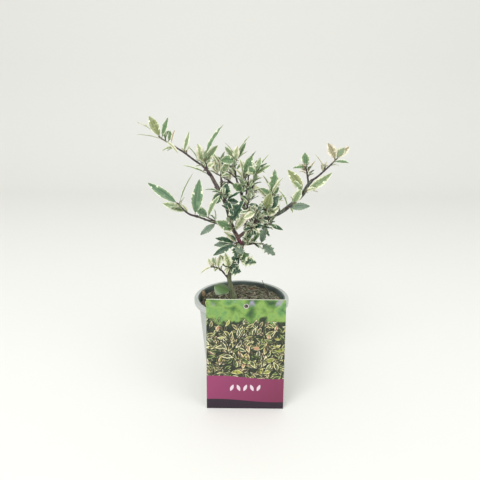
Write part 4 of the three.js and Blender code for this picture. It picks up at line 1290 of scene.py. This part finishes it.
def add_twig(shape, path, thick, thin, dice):
    """A twig with a collar at its root, swollen nodes and a bud at its tip."""
    offset = dice.uniform(*NOISE_OFFSETS)

    def girth(share):
        along = share * path.length
        collar = TWIG_COLLAR * max(0, 1 - along / TWIG_COLLAR_LENGTH)
        knots = TWIG_KNOT * max(0, sin(along * TWIG_KNOT_SPACING + offset)) ** 6
        return (thick + (thin - thick) * share) * (1 + collar + knots)

    tube(shape, path, girth, lambda share: "twig_dark" if share < TWIG_GREEN_FROM else "twig_green",
         sides=8, step=0.9, pointed=True)
    bud = Path([path.at(1), path.at(1) + path.tangent(1) * BUD_SIZE])
    tube(shape, bud, lambda share: BUD_RADIUS * sin(pi * (0.3 + 0.6 * share)), "bud", sides=6,
         step=BUD_SIZE / 4, pointed=True)


def add_spur(leaf_shape, twig_shape, carrier, length, tints, dice):
    """A fine side shoot with a few small leaves."""
    share = dice.uniform(*SPUR_PLACES)
    heading = leaning_from(carrier.tangent(share), dice.uniform(0, 360), dice.uniform(*SPUR_LEAN))
    root = carrier.at(share)
    reach = length * dice.uniform(*SPUR_SHARE)
    middle, rise = SPUR_BEND
    path = Path([root, root + heading * reach * middle, root + heading * reach + UP * reach * rise])
    add_twig(twig_shape, path, SPUR_RADIUS, SPUR_RADIUS * SPUR_TIP_SHARE, dice)
    start = dice.uniform(0, 360)
    for index in range(SPUR_LEAVES):
        place = SPUR_LEAF_PLACE[0] + SPUR_LEAF_PLACE[1] * index
        around = start + index * GOLDEN_ANGLE
        direction = leaning_from(path.tangent(place), around, dice.uniform(*SPUR_LEAF_LEAN))
        size = length * dice.uniform(*SPUR_LEAF_SHARE)
        add_leaf(leaf_shape, path.at(place), direction * size, size * dice.uniform(*SPUR_LEAF_SLIMNESS),
                 dice.uniform(*LEAF_TURN), dice.choice(tints), dice)


def part_of(name):
    """The part of the crown that a mass is in."""
    for mark, part in (("_back", "behind"), ("_left", "left"), ("_foot_shoot", "left"), ("_right", "right")):
        if mark in name:
            return part
    return "middle"


def make_foliage(finishes):
    """Every mass grown again by the frame's rule, then carried on to fine spurs, in four parts."""
    parts = {part: (Shape(), []) for part in ("left", "middle", "right", "behind")}
    twigs = Shape()
    for name, stem_points, own, more, twig_count, length, seed, spurs, tints in MASSES:
        dice = random.Random(seed)
        stem = Path(stem_points)
        side_twigs, seeded = seeded_growth(stem, more, twig_count, length, seed)
        known = frame_tips(name)
        shape, members = parts[part_of(name)]
        members.append(name)
        add_twig(twigs, stem, STEM_RADIUS, TWIG_RADIUS, dice)
        carriers = [stem]
        for twig in side_twigs:
            if known.find(twig.at(1))[2] < PACKED_DISTANCE:
                add_twig(twigs, twig, TWIG_RADIUS, TWIG_RADIUS * TWIG_TIP_SHARE, dice)
                carriers.append(twig)
        leaves = []
        for place, *reach, width, turn, tint in own:
            leaves.append((stem.at(place), Vector(reach), width, turn, tint))
        leaves += [(*leaf, None) for leaf in seeded]
        for root, reach, width, turn, tint in leaves:
            if known.find(root + reach)[2] < PACKED_DISTANCE:
                add_leaf(shape, root, reach, width, turn, tint or dice.choice(tints), dice)
        for _ in range(spurs):
            add_spur(shape, twigs, dice.choice(carriers), length, tints, dice)
    for part, (shape, members) in parts.items():
        piece = shape.build("foliage_" + part, finishes, sharp=70)
        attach(piece, "root")
        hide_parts(*members)
    piece = twigs.build("twigs", finishes)
    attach(piece, "root")


# ---- stage, light and camera

def make_stage():
    """A pale floor that curves up into a wall far behind."""
    profile = [(FLOOR_FRONT, 0), (BEND_START, 0)]
    for step in range(1, BEND_STEPS + 1):
        angle = pi / 2 * step / BEND_STEPS
        profile.append((BEND_START + BEND_RADIUS * sin(angle), BEND_RADIUS * (1 - cos(angle))))
    profile.append((BEND_START + BEND_RADIUS, WALL_TOP))
    shape = Shape()
    for y, z in profile:
        shape.points += [Vector((-FLOOR_HALF_WIDTH, y, z)), Vector((FLOOR_HALF_WIDTH, y, z))]
    for index in range(0, len(shape.points) - 2, 2):
        shape.add_face([index, index + 1, index + 3, index + 2], "floor")
    floor = Finish("studio_floor", FLOOR_COLOR, roughness=0.7)
    shape.build("floor", {"floor": floor.material})


def light_scene():
    world = bpy.data.worlds.new("studio")
    world.use_nodes = True
    world.node_tree.nodes["Background"].inputs["Color"].default_value = SKY_COLOR
    world.node_tree.nodes["Background"].inputs["Strength"].default_value = SKY_STRENGTH
    bpy.context.scene.world = world
    for name, place, size, power in LAMPS:
        light = bpy.data.lights.new(name, "AREA")
        light.shape = "DISK"
        light.size = size
        light.energy = power
        lamp = add_object(name, light)
        lamp.location = place
        lamp.rotation_euler = (LAMP_TARGET - Vector(place)).to_track_quat("-Z", "Y").to_euler()
    bpy.context.scene.view_settings.view_transform = "Standard"
    bpy.context.scene.view_settings.look = "None"


def add_camera():
    lens = bpy.data.cameras.new("camera")
    lens.lens = CAMERA_LENS
    lens.sensor_width = SENSOR_WIDTH
    camera = add_object("camera", lens)
    camera.location = CAMERA_PLACE
    tilt = Matrix.Rotation(radians(90) - CAMERA_PITCH, 4, "X")
    roll = Matrix.Rotation(CAMERA_ROLL, 4, "Z")
    camera.rotation_euler = (tilt @ roll).to_euler()
    bpy.context.scene.camera = camera


add_camera()
materials = make_finishes()
make_pot(materials)
make_soil(materials, random.Random(3))
add_litter(materials, random.Random(4))
make_card(materials)
make_limbs(materials, random.Random(5))
make_foliage(materials)
make_stage()
light_scene()
